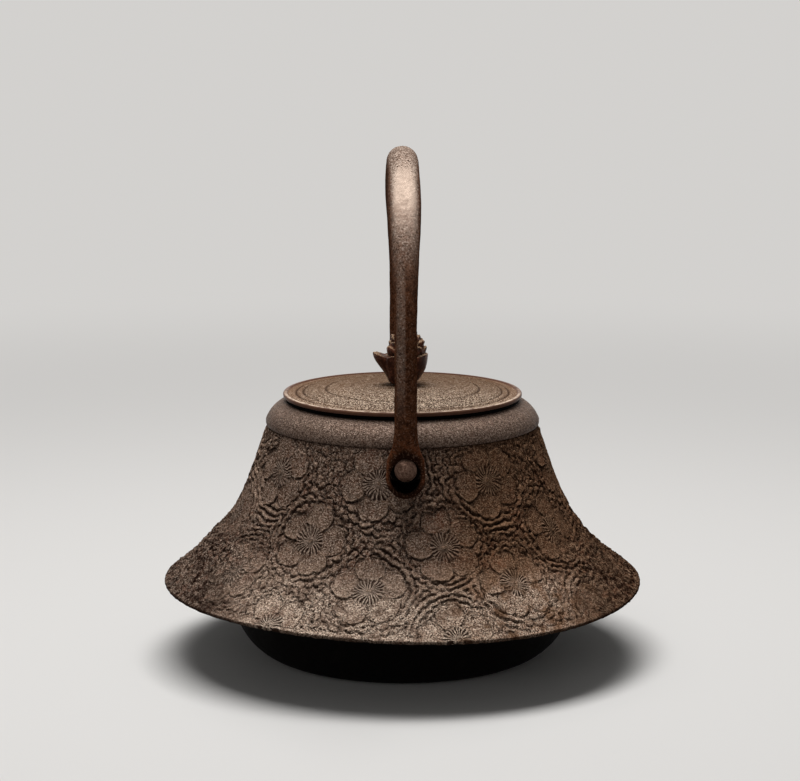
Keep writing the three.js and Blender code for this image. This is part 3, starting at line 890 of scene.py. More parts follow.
@dataclass(frozen=True)
class ForgedIron:
    """Hammered iron: fine scale in reddish browns, worn pale and satin where a hand holds it, which also paints the
    grip's highlight, and painted shade in the handle's eyes.
    """

    name: str
    low: Colour
    face: Colour
    rubbed_and_highlight: Colour
    speck: Colour
    roughness: float = 0.55
    specular: float = 0.06
    metallic: float = 0.1
    tint: Colour = (0.40, 0.30, 0.25)
    rust: Colour = (0.150, 0.048, 0.020)
    # Near black that paints shade in the handle's eyes.
    near_black: Colour = (0.012, 0.005, 0.003)
    worn: bool = False

    def material(self) -> bpy.types.Material:
        """Build the node tree.

        Returns:
            The material.
        """
        surface = Surface(self.name)
        patch = surface.noise(9 * MM, 4, 0.6)
        streak = surface.noise(2.2 * MM, 4, 0.65)
        fine = surface.noise(0.75 * MM, 2, 0.6)
        colour = surface.mix(surface.ramp(streak, 0.34, 0.66, 0.25, 0.9), self.low, self.face)
        rough = surface.ramp(streak, 0.3, 0.7, self.roughness - 0.08, self.roughness + 0.12)
        surface.gloss(self.specular, self.tint)
        metallic = self.metallic
        light = self.speck
        if self.worn:
            # Partly wear and partly painted highlight: the grip painted pale, metallic and flecked where the lamp's
            # highlight falls.
            wear_and_highlight = surface.number("wear_and_highlight")
            held_and_highlighted = surface.combine("MULTIPLY", wear_and_highlight, surface.ramp(patch, 0.2, 0.6, 0.7, 1))
            colour = surface.mix(held_and_highlighted, colour, self.rubbed_and_highlight)
            rough = surface.combine("ADD", rough, surface.combine("MULTIPLY", wear_and_highlight, 0.02))
            metallic = surface.ramp(wear_and_highlight, 0, 0.8, 0.05, 0.3)
            light = surface.mix(surface.ramp(wear_and_highlight, 0, 0.5, 0.15, 1), self.face, self.speck)
            rusty = surface.combine("MULTIPLY", surface.number("rusty"), surface.ramp(streak, 0.4, 0.6, 0.05, 0.85))
            colour = surface.mix(rusty, colour, self.rust)
            # Painted shade: nearly black inside and below the eyes.
            colour = surface.mix(surface.combine("MULTIPLY", surface.number("eye_shade"), 0.9), colour, self.near_black)
        pits, specks, lumps = surface.ramp(fine, 0.46, 0.35, 0, 0.75), surface.ramp(fine, 0.55, 0.68, 0, 0.7), fine
        if self.worn:
            pitted = surface.number("pitted")
            pits, specks = (surface.combine("MULTIPLY", share, pitted) for share in (pits, specks))
            lumps = surface.combine("MULTIPLY", fine, surface.ramp(pitted, 0, 1, 0.2, 1))
        colour = surface.mix(specks, surface.mix(pits, colour, self.low), light)
        normal = surface.bump(lumps, 0.14 * MM)
        return surface.finish(colour, rough, metallic, surface.bump(streak, 0.15 * MM, normal))


@dataclass(frozen=True)
class ScaledIron:
    """Bare iron that hot water has coated: dull grey-brown scale in drifts."""

    name: str
    dark: Colour = (0.040, 0.032, 0.028)
    pale: Colour = (0.120, 0.098, 0.082)

    def material(self) -> bpy.types.Material:
        """Build the node tree.

        Returns:
            The material.
        """
        surface = Surface(self.name)
        drift = surface.noise(7 * MM, 5, 0.65)
        grains = surface.noise(0.9 * MM, 3, 0.7)
        colour = surface.mix(surface.ramp(drift, 0.4, 0.7), self.dark, self.pale)
        rough = surface.ramp(drift, 0.3, 0.7, 0.65, 0.85)
        return surface.finish(colour, rough, 0.2, surface.bump(grains, 0.15 * MM))


@dataclass(frozen=True)
class BlossomIron:
    """The knob's iron: the cup dark, red-brown and worn glossy, the ruffles paler and dull, their up-facing faces
    paler, partly dust and partly painted light from above.
    """

    name: str
    cup: Colour = (0.034, 0.011, 0.007)
    cup_worn: Colour = (0.135, 0.048, 0.028)
    ruffle: Colour = (0.030, 0.012, 0.007)
    # Colour of up-facing faces: partly dust, partly painted light from above.
    dust_and_light: Colour = (0.440, 0.290, 0.175)

    def material(self) -> bpy.types.Material:
        """Build the node tree.

        Returns:
            The material.
        """
        surface = Surface(self.name)
        upper, upward = surface.number("upper"), surface.number("upward")
        streak = surface.noise(2.4 * MM, 4, 0.6)
        grains = surface.noise(0.5 * MM, 3, 0.7)
        glossy = surface.mix(surface.ramp(streak, 0.45, 0.7), self.cup, self.cup_worn)
        # Up-facing faces paler: partly dust, partly painted light from above.
        dusty_and_lit = surface.combine("MULTIPLY", surface.ramp(upward, 0.2, 0.85), surface.ramp(grains, 0.42, 0.56, 0.05, 1))
        dull = surface.mix(dusty_and_lit, surface.mix(surface.ramp(streak, 0.42, 0.62), self.ruffle, self.cup_worn), self.dust_and_light)
        colour = surface.mix(upper, glossy, dull)
        rough = surface.combine("ADD", surface.ramp(upper, 0, 1, 0.28, 0.42), surface.ramp(streak, 0.3, 0.7, 0, 0.1))
        normal = surface.bump(grains, 0.1 * MM)
        surface.gloss(0.2, (0.45, 0.28, 0.20))
        return surface.finish(colour, rough, 0.0, surface.bump(streak, 0.15 * MM, normal))


# The kettle body


@dataclass(frozen=True)
class Flare:
    """The outside of the wall, from the plain band down to the skirt's edge."""

    top_radius: float = 57.6 * MM
    top: float = 99.9 * MM
    bottom: float = 34 * MM
    lean: float = 21.5 * MM
    spread: float = 23.3 * MM
    power: float = 4.15
    droop: float = 0.5 * MM
    droop_power: float = 14.0
    rim_share: float = 0.994

    def point(self, share: float) -> Point:
        """Radius and height at a share of the way down."""
        radius = self.top_radius + self.lean * share + self.spread * share**self.power
        return radius, self.top + (self.bottom - self.top) * share - self.droop * share**self.droop_power

    def drawn(self, step: float) -> np.ndarray:
        """Points at equal distances along the curve.

        Args:
            step: The distance between them.

        Returns:
            One row for each point: the distance from the top, the radius and the height.
        """
        fine = np.array([self.point(s) for s in np.linspace(0, self.rim_share, 2000)])
        along = np.concatenate([[0], np.cumsum(np.hypot(*np.diff(fine, axis=0).T))])
        places = np.linspace(0, along[-1], round(along[-1] / step) + 1)
        return np.stack([places, np.interp(places, along, fine[:, 0]), np.interp(places, along, fine[:, 1])], 1)


@dataclass(frozen=True)
class BlossomRow:
    """Blossoms at equal angles round the wall."""

    height: float
    first: float
    count: int = 8


@dataclass(frozen=True)
class Relief:
    """Five-petalled blossoms on a ground of scalloped ripples, as a height over the wall from 0 to 1."""

    rows: tuple[BlossomRow, ...] = (
        BlossomRow(85 * MM, -147),
        BlossomRow(62.5 * MM, -124.5),
        BlossomRow(46 * MM, -147),
        BlossomRow(33.8 * MM, -124),
    )
    petal_reach: float = 10.3 * MM
    petal_length: float = 5.6 * MM
    petal_width: float = 6.3 * MM
    petal_edge: float = 0.35 * MM
    notch_width: float = 0.9 * MM
    disc_radius: float = 6.6 * MM
    stamens: int = 23
    ripple_start: float = 15.6 * MM
    ripple_pitch: float = 2.7 * MM
    ripples: int = 10
    scallop: float = 2.0 * MM
    scallop_width: float = 4.4 * MM
    swell: float = 0.5 * MM
    calmest: float = 0.6
    crease: float = 0.45 * MM
    spout_clear: float = 24 * MM
    unevenness: float = 0.45 * MM
    raggedness: float = 0.2 * MM
    petal_tilt: float = 0.13
    low_side: float = math.radians(150)
    worn: float = 0.35
    eaten: float = 0.45

    def blossoms(self, spout: Vector) -> np.ndarray:
        """Place every blossom that leaves room for the spout.

        Args:
            spout: The middle of the spout's root.

        Returns:
            One row for each blossom: azimuth, height, turn and two phases, with the angles in radians.
        """
        dice = np.random.default_rng(SEED)
        flare = Flare().drawn(0.5 * MM)
        placed = []
        for row in self.rows:
            radius = np.interp(-row.height, -flare[:, 2], flare[:, 1])
            for i in range(row.count):
                azimuth = math.radians(row.first + 360 * i / row.count + dice.uniform(-2.5, 2.5))
                height = row.height + dice.uniform(-1.2, 1.2) * MM
                turned = dice.uniform(0, 2 * math.pi / 5)
                middle = Vector((radius * math.cos(azimuth), radius * math.sin(azimuth), height))
                if (middle - spout).length > self.spout_clear:
                    placed.append((azimuth, height, turned))
        phases = np.random.default_rng(SEED + 2).uniform(0, 2 * math.pi, (len(placed), 2))
        return np.hstack([np.array(placed), phases])

    def petals(
        self, rho: np.ndarray, theta: np.ndarray, turned: float, dice: np.random.Generator
    ) -> tuple[np.ndarray, np.ndarray, np.ndarray]:
        """Height of one blossom's petals and stamens.

        Args:
            rho: Distance from the blossom's middle.
            theta: Angle round it, with a petal at 0.
            turned: How far the blossom is turned on the wall.
            dice: The source of the petals' unevenness.

        Returns:
            The height, how far it takes the ground's place, and how far it pushes the ground beside it down.
        """
        fifth = 2 * math.pi / 5
        away = (theta + fifth / 2) % fifth - fifth / 2
        which = np.round((theta - away) / fifth).astype(int) % 5
        out, across = rho * np.cos(away) - self.petal_reach, rho * np.sin(away)
        inside = 1 - np.hypot(out / self.petal_length, across / self.petal_width)
        inside -= 0.02 * np.sin(7 * np.arctan2(across, out) + 1.3)
        tip = smoothstep(0.35 * self.petal_length, 0.95 * self.petal_length, out)
        inside -= 0.34 * np.exp(-((across / self.notch_width) ** 2)) * tip
        outwards = np.arctan2(across / self.petal_width**2, out / self.petal_length**2) + theta - away - turned
        facing = np.cos(outwards - self.low_side)
        leaf = dice.uniform(0.48, 0.68, 5)[which] + 0.12 * np.clip(inside, 0, 0.5) - 0.1 * across / self.petal_width
        leaf += 0.12 * np.exp(-(((inside - 0.06) / 0.07) ** 2)) + self.petal_tilt * facing * np.clip(1 - inside, 0, 1)
        disc = smoothstep(self.disc_radius + 0.5 * MM, self.disc_radius - 0.7 * MM, rho)
        rays = 0.70 + 0.1 * np.cos(self.stamens * theta) + 0.25 * smoothstep(1.5 * MM, 0.9 * MM, rho)
        edge = self.petal_edge / self.petal_length
        cover = smoothstep(-edge, edge, inside)
        moat = 0.36 * np.exp(-((np.clip(inside, None, 0) / (0.6 * MM / self.petal_length)) ** 2))
        moat *= smoothstep(-0.4, 0.6, facing)
        return leaf * (1 - disc) + rays * disc, np.maximum(cover, disc), moat

    def ripple(self, rho: np.ndarray, theta: np.ndarray, phases: np.ndarray) -> np.ndarray:
        """Height of the scalloped ripples round one blossom.

        Args:
            rho: Distance from the blossom's middle.
            theta: Angle round it.
            phases: Two angles that set this blossom's ripples apart from the others'.

        Returns:
            The height of overlapping layers with scalloped edges, each highest at its outer edge.
        """
        height = np.full_like(rho, 0.5)
        inner = np.full_like(rho, self.ripple_start - self.ripple_pitch)
        calm = self.calmest * smoothstep(0.4, 0.85, np.sin(theta + phases[0]))
        swell = self.swell * np.sin(3 * theta + phases[1])
        for k in range(self.ripples):
            middle = self.ripple_start + k * self.ripple_pitch
            lobes = round(2 * math.pi * middle / self.scallop_width)
            turns = 0.5 * lobes * theta + 1.6 * np.sin(2 * theta + 2.4 * k + phases[1]) + 1.7 * k
            lobe = np.abs(np.sin(turns))
            chance = 0.5 + 0.5 * np.sin(127.1 * np.floor(turns / math.pi) + 311.7 * k + phases[1])
            edge = middle + swell + self.scallop * (1 - 0.85 * calm) * (lobe**0.6 - 0.5)
            share = np.clip((rho - inner) / (edge - inner), 0, 1)
            scale = (0.36 + (0.28 + 0.36 * chance) * share**0.55) * (1 - 0.22 * (1 - lobe**0.3))
            plain_ring = 0.08 + 0.87 * np.sin(np.pi * share) ** 0.7
            crest = (scale + (plain_ring - scale) * calm) * smoothstep(0, self.crease, edge - rho)
            height = np.where((rho >= inner) & (rho < edge), crest, height)
            inner = edge
        return height

    def locate(self, azimuth: np.ndarray, along: np.ndarray, spout: Vector) -> tuple[np.ndarray, np.ndarray, np.ndarray]:
        """Find each place's nearest blossom, and where it lies in every blossom's own coordinates.

        Args:
            azimuth: The angle of each place about +Z, in radians.
            along: Its distance from the top of the flare.
            spout: The middle of the spout's root.

        Returns:
            The nearest blossom, then distance and angle in each blossom, one row for each.
        """
        flare = Flare().drawn(0.5 * MM)
        radius = np.interp(along, flare[:, 0], flare[:, 1])
        sway = self.unevenness * np.sin(37 * azimuth + 2 * np.sin(along / (5 * MM)))
        sway += self.raggedness * np.sin(143 * azimuth + 1.6 * np.sin(along / (1.3 * MM)))
        dip = self.unevenness * np.sin(31 * azimuth + along / (2.6 * MM))
        dip += self.raggedness * np.sin(131 * azimuth - along / (0.8 * MM) + 2 * np.sin(23 * azimuth))
        distances, angles = [], []
        for middle, high, turned in self.blossoms(spout)[:, :3]:
            here = np.interp(-high, -flare[:, 2], flare[:, 0])
            at = np.interp(here, flare[:, 0], flare[:, 1])
            round_ = (azimuth - middle + math.pi) % (2 * math.pi) - math.pi
            across, down = round_ * (radius + at) / 2 + sway, along - here + dip
            distances.append(np.hypot(across, down))
            angles.append(np.arctan2(across, -down) + turned)
        distances = np.array(distances)
        return distances.argmin(axis=0), distances, np.array(angles)

    def crusted(self, azimuth: np.ndarray, along: np.ndarray) -> np.ndarray:
        """How far rust has eaten the relief: most at both sides of the skirt."""
        return smoothstep(0.6, 0.95, np.abs(np.cos(azimuth))) * smoothstep(36 * MM, 58 * MM, along)

    def height(self, azimuth: np.ndarray, along: np.ndarray, spout: Vector) -> np.ndarray:
        """Height of the whole relief.

        Args:
            azimuth: The angle of each place about +Z, in radians.
            along: Its distance from the top of the flare.
            spout: The middle of the spout's root.

        Returns:
            The height at each place, from 0 to 1.
        """
        _, distances, angles = self.locate(azimuth, along, spout)
        dice = np.random.default_rng(SEED + 1)
        ground, flower, cover, moat = np.zeros((4, len(along)))
        weight = np.full(len(along), 1e-12)
        reach = self.ripple_start + (self.ripples - 1) * self.ripple_pitch
        for rho, theta, (turned, *phases) in zip(distances, angles, self.blossoms(spout)[:, 2:]):
            seed = dice.integers(1 << 30)
            close = rho < reach
            pull = np.exp(-(rho[close] - distances.min(axis=0)[close]) / (0.2 * MM))
            ground[close] += pull * self.ripple(rho[close], theta[close], phases)
            weight[close] += pull
            inside = rho < self.petal_reach + self.petal_length + 1.5 * MM
            high, covered, beside = self.petals(rho[inside], theta[inside], turned, np.random.default_rng(seed + 1))
            moat[inside] = np.maximum(moat[inside], beside)
            flower[inside] = np.where(covered > cover[inside], high, flower[inside])
            cover[inside] = np.maximum(cover[inside], covered)
        height = ground / weight * (1 - moat) * (1 - cover) + flower * cover
        patches = np.sin(3 * azimuth + 1.7 * np.sin(along / (16 * MM))) * np.sin(along / (13 * MM) + 2 * np.sin(2 * azimuth))
        height += (0.55 - height) * self.worn * smoothstep(-0.4, 0.8, patches)
        height += (0.55 - height) * self.eaten * self.crusted(azimuth, along)
        return np.clip(height, 0, 1)


@dataclass
class KettleBody:
    """The casting: base, skirt with its relief, band, mouth, bosses and spout."""

    flare: Flare = field(default_factory=Flare)
    relief: Relief = field(default_factory=Relief)
    relief_depth: float = 2.1 * MM
    relief_sink: float = 1.25 * MM
    edge_depth: float = 0.5 * MM
    skin_depth: float = 0.3 * MM
    crust_depth: float = 2.7 * MM
    relief_step: float = 0.55 * MM
    relief_sides: int = 896
    most_triangles: int = 176000
    plain_sides: int = 128
    wall: float = 3.5 * MM
    floor: float = 4 * MM
    skirt: float = 3.4 * MM
    skirt_edge: float = 2.2 * MM
    skirt_taper: float = 9 * MM
    sag: float = 3.0 * MM
    sag_middle: float = math.radians(-62)
    fullness: float = 2.4 * MM
    full_radius: float = 82 * MM
    reach: float = 102.2 * MM
    base_radius: float = 52 * MM
    basin_radius: float = 75.8 * MM
    basin_height: float = 36 * MM
    band_step: float = 0.6 * MM
    band_lip: float = 1.4 * MM
    band_bulge: float = 1.4 * MM
    shoulder: Point = (49.5 * MM, 109.8 * MM)
    mouth_radius: float = 43.5 * MM
    ring_width: float = 4 * MM
    ring_height: float = 1.4 * MM
    pivot: float = 93.5 * MM
    boss_radius: float = 6.8 * MM
    boss_face: float = 64.39 * MM
    boss_inner: float = 54.59 * MM
    pin_hole: float = 3.5 * MM
    spout_root: Point = (58 * MM, 50.7 * MM)
    spout_rise: float = 50
    spout_length: float = 54.4 * MM
    spout_foot: float = 16 * MM
    spout_radii: Point = (12.2 * MM, 7.8 * MM)
    spout_lip: Point = (8.7 * MM, 3.2 * MM)
    spout_bore: Point = (8.4 * MM, 6.2 * MM)

    def spout_middle(self) -> Vector:
        """The middle of the place where the spout leaves the wall."""
        rise = math.radians(self.spout_rise)
        out = 18.8 * MM
        return Vector((0, self.spout_root[0] + out * math.cos(rise), self.spout_root[1] + out * math.sin(rise)))

    def rim(self) -> list[Point]:
        """The rounded edge of the skirt, from its top round to its underside."""
        top, before = (self.flare.point(s) for s in (self.flare.rim_share, self.flare.rim_share - 0.01))
        slope = math.degrees(math.atan2(top[1] - before[1], top[0] - before[0]))
        radius = self.skirt_edge / 2
        turned = math.radians(slope + 90)
        centre = (top[0] - radius * math.cos(turned), top[1] - radius * math.sin(turned))
        return arc(centre, radius, slope + 90, slope - 90, 10)[1:]

    def underside(self) -> list[Point]:
        """The skirt's underside, from its edge in to the basin's wall."""
        distance, line = np.split(self.flare.drawn(2 * MM)[::-1], [1], axis=1)
        along = np.gradient(line, axis=0)
        along /= np.hypot(*along.T)[:, None]
        thick = smoothstep(0, self.skirt_taper, distance[0] - distance)
        thick = self.skirt_edge + (self.skirt - self.skirt_edge) * thick
        under = line + np.stack([-along[:, 1], along[:, 0]], 1) * thick
        return [tuple(p) for p in under[1:] if p[0] > self.basin_radius + 0.6 * MM]

    def basin(self) -> list[Point]:
        """The dished base, from the upright wall down to the flat it stands on."""
        corner = ((self.base_radius, 0), (self.base_radius + 12 * MM, self.basin_height / 30))
        upper = ((self.basin_radius - 0.8 * MM, self.basin_height * 0.36), (self.basin_radius, self.basin_height))
        control = np.array([*corner, *upper])
        share = np.linspace(1, 0, 19)[:, None]
        powers = ((1 - share) ** 3, 3 * share * (1 - share) ** 2, 3 * share**2 * (1 - share), share**3)
        return [tuple(p) for p in sum(w * c for w, c in zip(powers, control))]

    def fire_side(self) -> list[Point]:
        """From under the skirt's edge down the basin and across the base to the axis."""
        under = self.underside()
        fillet = (self.basin_radius, under[-1][1] - 1.2 * MM)
        flat = [(self.base_radius * share, 0.0) for share in (0.75, 0.5, 0.25, 0)]
        return [*under, fillet, *self.basin(), *flat]

    def band(self) -> list[Point]:
        """From the relief's upper end over the plain shoulder band to the mouth's ring."""
        low = (self.flare.top_radius + self.band_step, self.flare.top + self.band_step + self.band_lip)
        high = self.shoulder
        across = Vector((high[1] - low[1], low[0] - high[0])).normalized()
        pull = (Vector(low) + Vector(high)) / 2 + across * 2 * self.band_bulge
        share = np.linspace(0, 1, 17)[:, None]
        roll = (1 - share) ** 2 * np.array(low) + 2 * share * (1 - share) * np.array(pull) + share**2 * np.array(high)
        lip = (low[0] - 0.15 * MM, self.flare.top + self.band_step * 0.4)
        step = (low[0], self.flare.top + self.band_step * 1.4)
        return [self.flare.point(0), lip, step, *(tuple(p) for p in roll)]

    def inside(self) -> list[Point]:
        """From the shoulder over the mouth's ring, down the inner wall and across the floor to the axis."""
        ring = self.mouth_radius + self.ring_width
        top = self.shoulder[1] + self.ring_height
        soft = 0.4 * MM
        seat = [(ring + soft, self.shoulder[1]), (ring, self.shoulder[1] + soft), (ring, top - soft), (ring - soft, top)]
        mouth = [(self.mouth_radius + soft, top), (self.mouth_radius, top - soft)]
        throat = [(self.mouth_radius, self.shoulder[1] - self.wall + 0.4 * MM)]
        under_band = [(49 * MM, 106.2 * MM), (52.5 * MM, 103.8 * MM), (54 * MM, 100.5 * MM)]
        wall = [(self.flare.point(s)[0] - self.wall * 1.07, self.flare.point(s)[1]) for s in (0.1, 0.3, 0.48, 0.58)]
        upright = [(self.basin_radius - self.wall, 57 * MM), (self.basin_radius - self.wall, self.basin_height)]
        bowl = [(r - self.wall * 0.86, z + self.wall * 0.5) for r, z in self.basin()[1:-3] if z > 3.4 * MM]
        flat = [(self.base_radius * share, self.floor) for share in (1, 0.75, 0.5, 0.25, 0)]
        return [*seat, *mouth, *throat, *under_band, *wall, *upright, *bowl, *flat]

    def shell(self) -> bpy.types.Object:
        """Turn the three stretches of the profile and bridge them into one closed shell.

        Returns:
            The plain vessel, with the relief's stretch and the skirt's edge finely divided.
        """
        wall = [tuple(p[1:]) for p in self.flare.drawn(self.relief_step)]
        fine = turn("kettle_body", [*wall, *self.rim()], self.relief_sides)
        fine.vertex_groups.new(name="fine").add(list(range(len(fine.data.vertices))), 1.0, "REPLACE")
        low = turn("low", self.fire_side(), self.plain_sides)
        high = turn("high", [*self.band()[1:], *self.inside()], self.plain_sides)
        body = join([fine, low, high], "kettle_body")
        for above in (True, False):
            with editing(body) as mesh:
                bpy.ops.mesh.select_mode(type="EDGE")
                for edge in mesh.edges:
                    height = (edge.verts[0].co.z + edge.verts[1].co.z) / 2
                    edge.select_set(edge.is_boundary and (height > self.flare.bottom * 2) == above)
                bpy.ops.mesh.bridge_edge_loops()
        face_outwards(body)
        return body

    def nearest(self, places: np.ndarray, line: np.ndarray) -> tuple[np.ndarray, np.ndarray]:
        """Find the nearest point of a profile to each place.

        Args:
            places: One row of x, y and z for each place.
            line: One row of radius and height for each point of the profile.

        Returns:
            The nearest point's index, and how far away it is.
        """
        radius = np.hypot(places[:, 0], places[:, 1])
        best = np.full(len(places), np.inf)
        found = np.zeros(len(places), int)
        for i, (r, z) in enumerate(line):
            gap = np.hypot(radius - r, places[:, 2] - z)
            nearer = gap < best
            best[nearer] = gap[nearer]
            found[nearer] = i
        return found, best

    def from_spout(self, places: np.ndarray) -> np.ndarray:
        """The distance of each place from the line that the spout follows."""
        rise = math.radians(self.spout_rise)
        line = np.array([0, math.cos(rise), math.sin(rise)])
        away = places - np.array([0, *self.spout_root])
        return np.linalg.norm(away - np.outer(away @ line, line), axis=1)

    def relief_height(self, places: np.ndarray, distance: np.ndarray) -> np.ndarray:
        """The relief's height at places on the wall, faded where it ends.

        Args:
            places: One row for each place.
            distance: How far down the flare it lies.

        Returns:
            The height, from 0 to 1.
        """
        azimuth = np.arctan2(places[:, 1], places[:, 0])
        height = self.relief.height(azimuth, distance, self.spout_middle())
        return height * self.relief_share(places, distance)

    def relief_share(self, places: np.ndarray, distance: np.ndarray) -> np.ndarray:
        """How much of the relief is left at places on the wall: less at its ends, the bosses and the spout.

        Args:
            places: One row for each place.
            distance: How far down the flare it lies.

        Returns:
            The share, from 0 to 1.
        """
        length = self.flare.drawn(self.relief_step)[-1, 0]
        height = smoothstep(0.3 * MM, 1.8 * MM, distance)
        height *= 0.7 + 0.3 * smoothstep(0, 7 * MM, distance)
        height *= smoothstep(length + 0.3 * MM, length - 2.2 * MM, distance)
        height *= 1 - 0.2 * smoothstep(0.5 * length, 0.95 * length, distance)
        beside = np.hypot(places[:, 0], places[:, 2] - self.pivot)
        height *= smoothstep(self.boss_radius, self.boss_radius + 1.5 * MM, beside)
        under_eye = np.hypot(places[:, 0] / 1.1, places[:, 2] - self.pivot + 9 * MM)
        height *= 1 - 0.5 * smoothstep(8 * MM, 4 * MM, under_eye)
        root = self.spout_radii[0]
        clear = smoothstep(root + 0.6 * MM, root + 2.2 * MM, self.from_spout(places))
        return np.where(places[:, 1] > 0, height * clear, height)

    def raise_relief(self, body: bpy.types.Object) -> None:
        """Lift the relief out of the wall, then thin the fine mesh where it stays flat."""
        places = coordinates(body)
        group = body.vertex_groups["fine"].index
        fine = np.array([any(g.group == group and g.weight > 0.99 for g in v.groups) for v in body.data.vertices])
        line = self.flare.drawn(self.relief_step)
        distance = np.interp(-places[fine, 2], -line[:, 2], line[:, 0])
        on_wall = places[fine, 2] >= line[-1, 2]
        weights = {
            "lift": self.relief_height(places[fine], distance) * on_wall,
            "sink": self.relief_share(places[fine], distance) * on_wall,
            "worn_rim": smoothstep(line[-1, 0] - 5 * MM, line[-1, 0], distance),
        }
        azimuth = np.arctan2(places[fine, 1], places[fine, 0])
        weights["crusty"] = self.relief.crusted(azimuth, distance) * weights["sink"]
        for name, values in weights.items():
            group = body.vertex_groups.new(name=name)
            for index, value in zip(np.nonzero(fine)[0], values):
                group.add([int(index)], float(value), "REPLACE")
        apply_modifier(body, "DISPLACE", strength=-self.relief_sink, mid_level=0.0, vertex_group="sink")
        worn = cloud("worn_edge", 3 * MM)
        settings = {"texture": worn, "texture_coords": "LOCAL", "mid_level": 0.75}
        apply_modifier(body, "DISPLACE", strength=self.edge_depth, vertex_group="worn_rim", **settings)
        apply_modifier(body, "DISPLACE", strength=self.relief_depth, mid_level=0.0, vertex_group="lift")
        skin = {"texture": cloud("cast_skin", 1.8 * MM, 1), "texture_coords": "LOCAL"}
        apply_modifier(body, "DISPLACE", strength=self.skin_depth, vertex_group="sink", **skin)
        crust = {"texture": cloud("crust", 1.7 * MM, 2), "texture_coords": "LOCAL", "mid_level": 0.56}
        apply_modifier(body, "DISPLACE", strength=self.crust_depth, vertex_group="crusty", **crust)
        triangles = sum(len(face.vertices) - 2 for face in body.data.polygons)
        apply_modifier(body, "DECIMATE", ratio=self.most_triangles / triangles, vertex_group="fine")

    def place_along_spout(self, piece: bpy.types.Object) -> None:
        """Lay a piece that was made along +Z into the spout's line."""
        lean = Matrix.Rotation(-math.radians(90 - self.spout_rise), 4, "X")
        piece.data.transform(Matrix.Translation((0, *self.spout_root)) @ lean)

    def spout(self) -> bpy.types.Object:
        """Turn the spout's outside, with a swept foot and a soft lip.

        Returns:
            The solid spout, in place.
        """
        foot, tip = self.spout_radii
        lip_radius, lip_length = self.spout_lip
        straight = self.spout_length - lip_length
        soft = 0.6 * MM
        profile = [(0.0, 0.0)]
        for share in np.linspace(0, 1, 30):
            past = max(0.0, share * straight - self.spout_foot)
            swell = 3.6 * MM * math.exp(-((past / (6 * MM)) ** 1.3))
            profile.append((foot + (tip - foot) * share + swell, straight * share))
        profile += [(lip_radius - soft, straight + lip_length * 0.22), (lip_radius, straight + lip_length * 0.42)]
        profile += arc((lip_radius - soft, self.spout_length - soft), soft, 0, 90, 4)
        profile.append((0.0, self.spout_length))
        piece = turn("spout", profile, 96)
        face_outwards(piece)
        self.place_along_spout(piece)
        return piece

    def bore(self) -> bpy.types.Object:
        """Turn the cutter for the spout's bore.

        Returns:
            The cutter, in place.
        """
        root, tip = self.spout_bore
        end = self.spout_length
        mouth = [(tip, end - 3 * MM), (tip + 0.5 * MM, end - 0.4 * MM), (tip + 1.4 * MM, end + 0.6 * MM)]
        profile = [(0, -self.wall), (root, -self.wall), *mouth, (tip + 1.4 * MM, end + 4 * MM), (0, end + 4 * MM)]
        piece = turn("bore", profile, 64)
        face_outwards(piece)
        self.place_along_spout(piece)
        return piece

    def round_bar(self, name: str, radius: float, start: float, end: float, side: Side) -> bpy.types.Object:
        """A round bar along the handle's axis.

        Args:
            name: The object's name.
            radius: Its radius.
            start: Its inner end's distance from the middle.
            end: Its outer end's distance from the middle.
            side: Which lug it belongs to.

        Returns:
            The bar, with a soft outer edge.
        """
        middle = (0, side.value * (start + end) / 2, self.pivot)
        bpy.ops.mesh.primitive_cylinder_add(
            vertices=64, radius=radius, depth=end - start, location=middle, rotation=(math.pi / 2, 0, 0)
        )
        piece = named(name)
        bpy.ops.object.transform_apply(location=True, rotation=True, scale=True)
        with editing(piece) as mesh:
            bpy.ops.mesh.select_mode(type="FACE")
            for face in mesh.faces:
                outer = face.calc_center_median().y * side.value > (start + 3 * end) / 4
                face.select_set(len(face.verts) > 4 and outer)
            bpy.ops.mesh.bevel(offset=0.7 * MM, segments=3, affect="EDGES")
        return piece

    def build(self) -> bpy.types.Object:
        """Model the whole casting.

        Returns:
            The body, in place.
        """
        body = self.shell()
        added = [self.spout()]
        cut = [self.bore()]
        for side in Side:
            inner, outer = self.boss_inner, self.boss_face
            added.append(self.round_bar("boss", self.boss_radius, inner, outer, side))
            cut.append(self.round_bar("pin_hole", self.pin_hole, inner - self.wall, outer + self.wall, side))
        carve(body, join(added, "added"), "UNION")
        carve(body, join(cut, "cut"), "DIFFERENCE")
        self.raise_relief(body)
        return body

    def warp(self, body: bpy.types.Object) -> None:
        """Leave the real casting's unevenness: the skirt's edge hangs lower on one side and is fuller on another."""
        places = coordinates(body)
        edge = self.flare.point(self.flare.rim_share)[0]
        radius, turned = np.hypot(places[:, 0], places[:, 1]), np.arctan2(places[:, 1], places[:, 0])
        below = places[:, 2] < 62 * MM
        hanging = self.sag * (0.5 + 0.5 * np.cos(turned - self.sag_middle)) ** 6 + 0.4 * MM
        hanging *= smoothstep(0.86 * edge, edge, radius)
        fuller = np.exp(-(((radius - self.full_radius) / (10 * MM)) ** 2)) * np.clip(-np.cos(turned), 0, 1) ** 3
        fuller *= smoothstep(60 * MM, 68 * MM, radius)
        places[:, 2] += below * (self.fullness * fuller - hanging)
        places[:, :2] *= np.minimum(1, self.reach / np.maximum(radius, 1 * MM))[:, None]
        move_vertices(body, places)

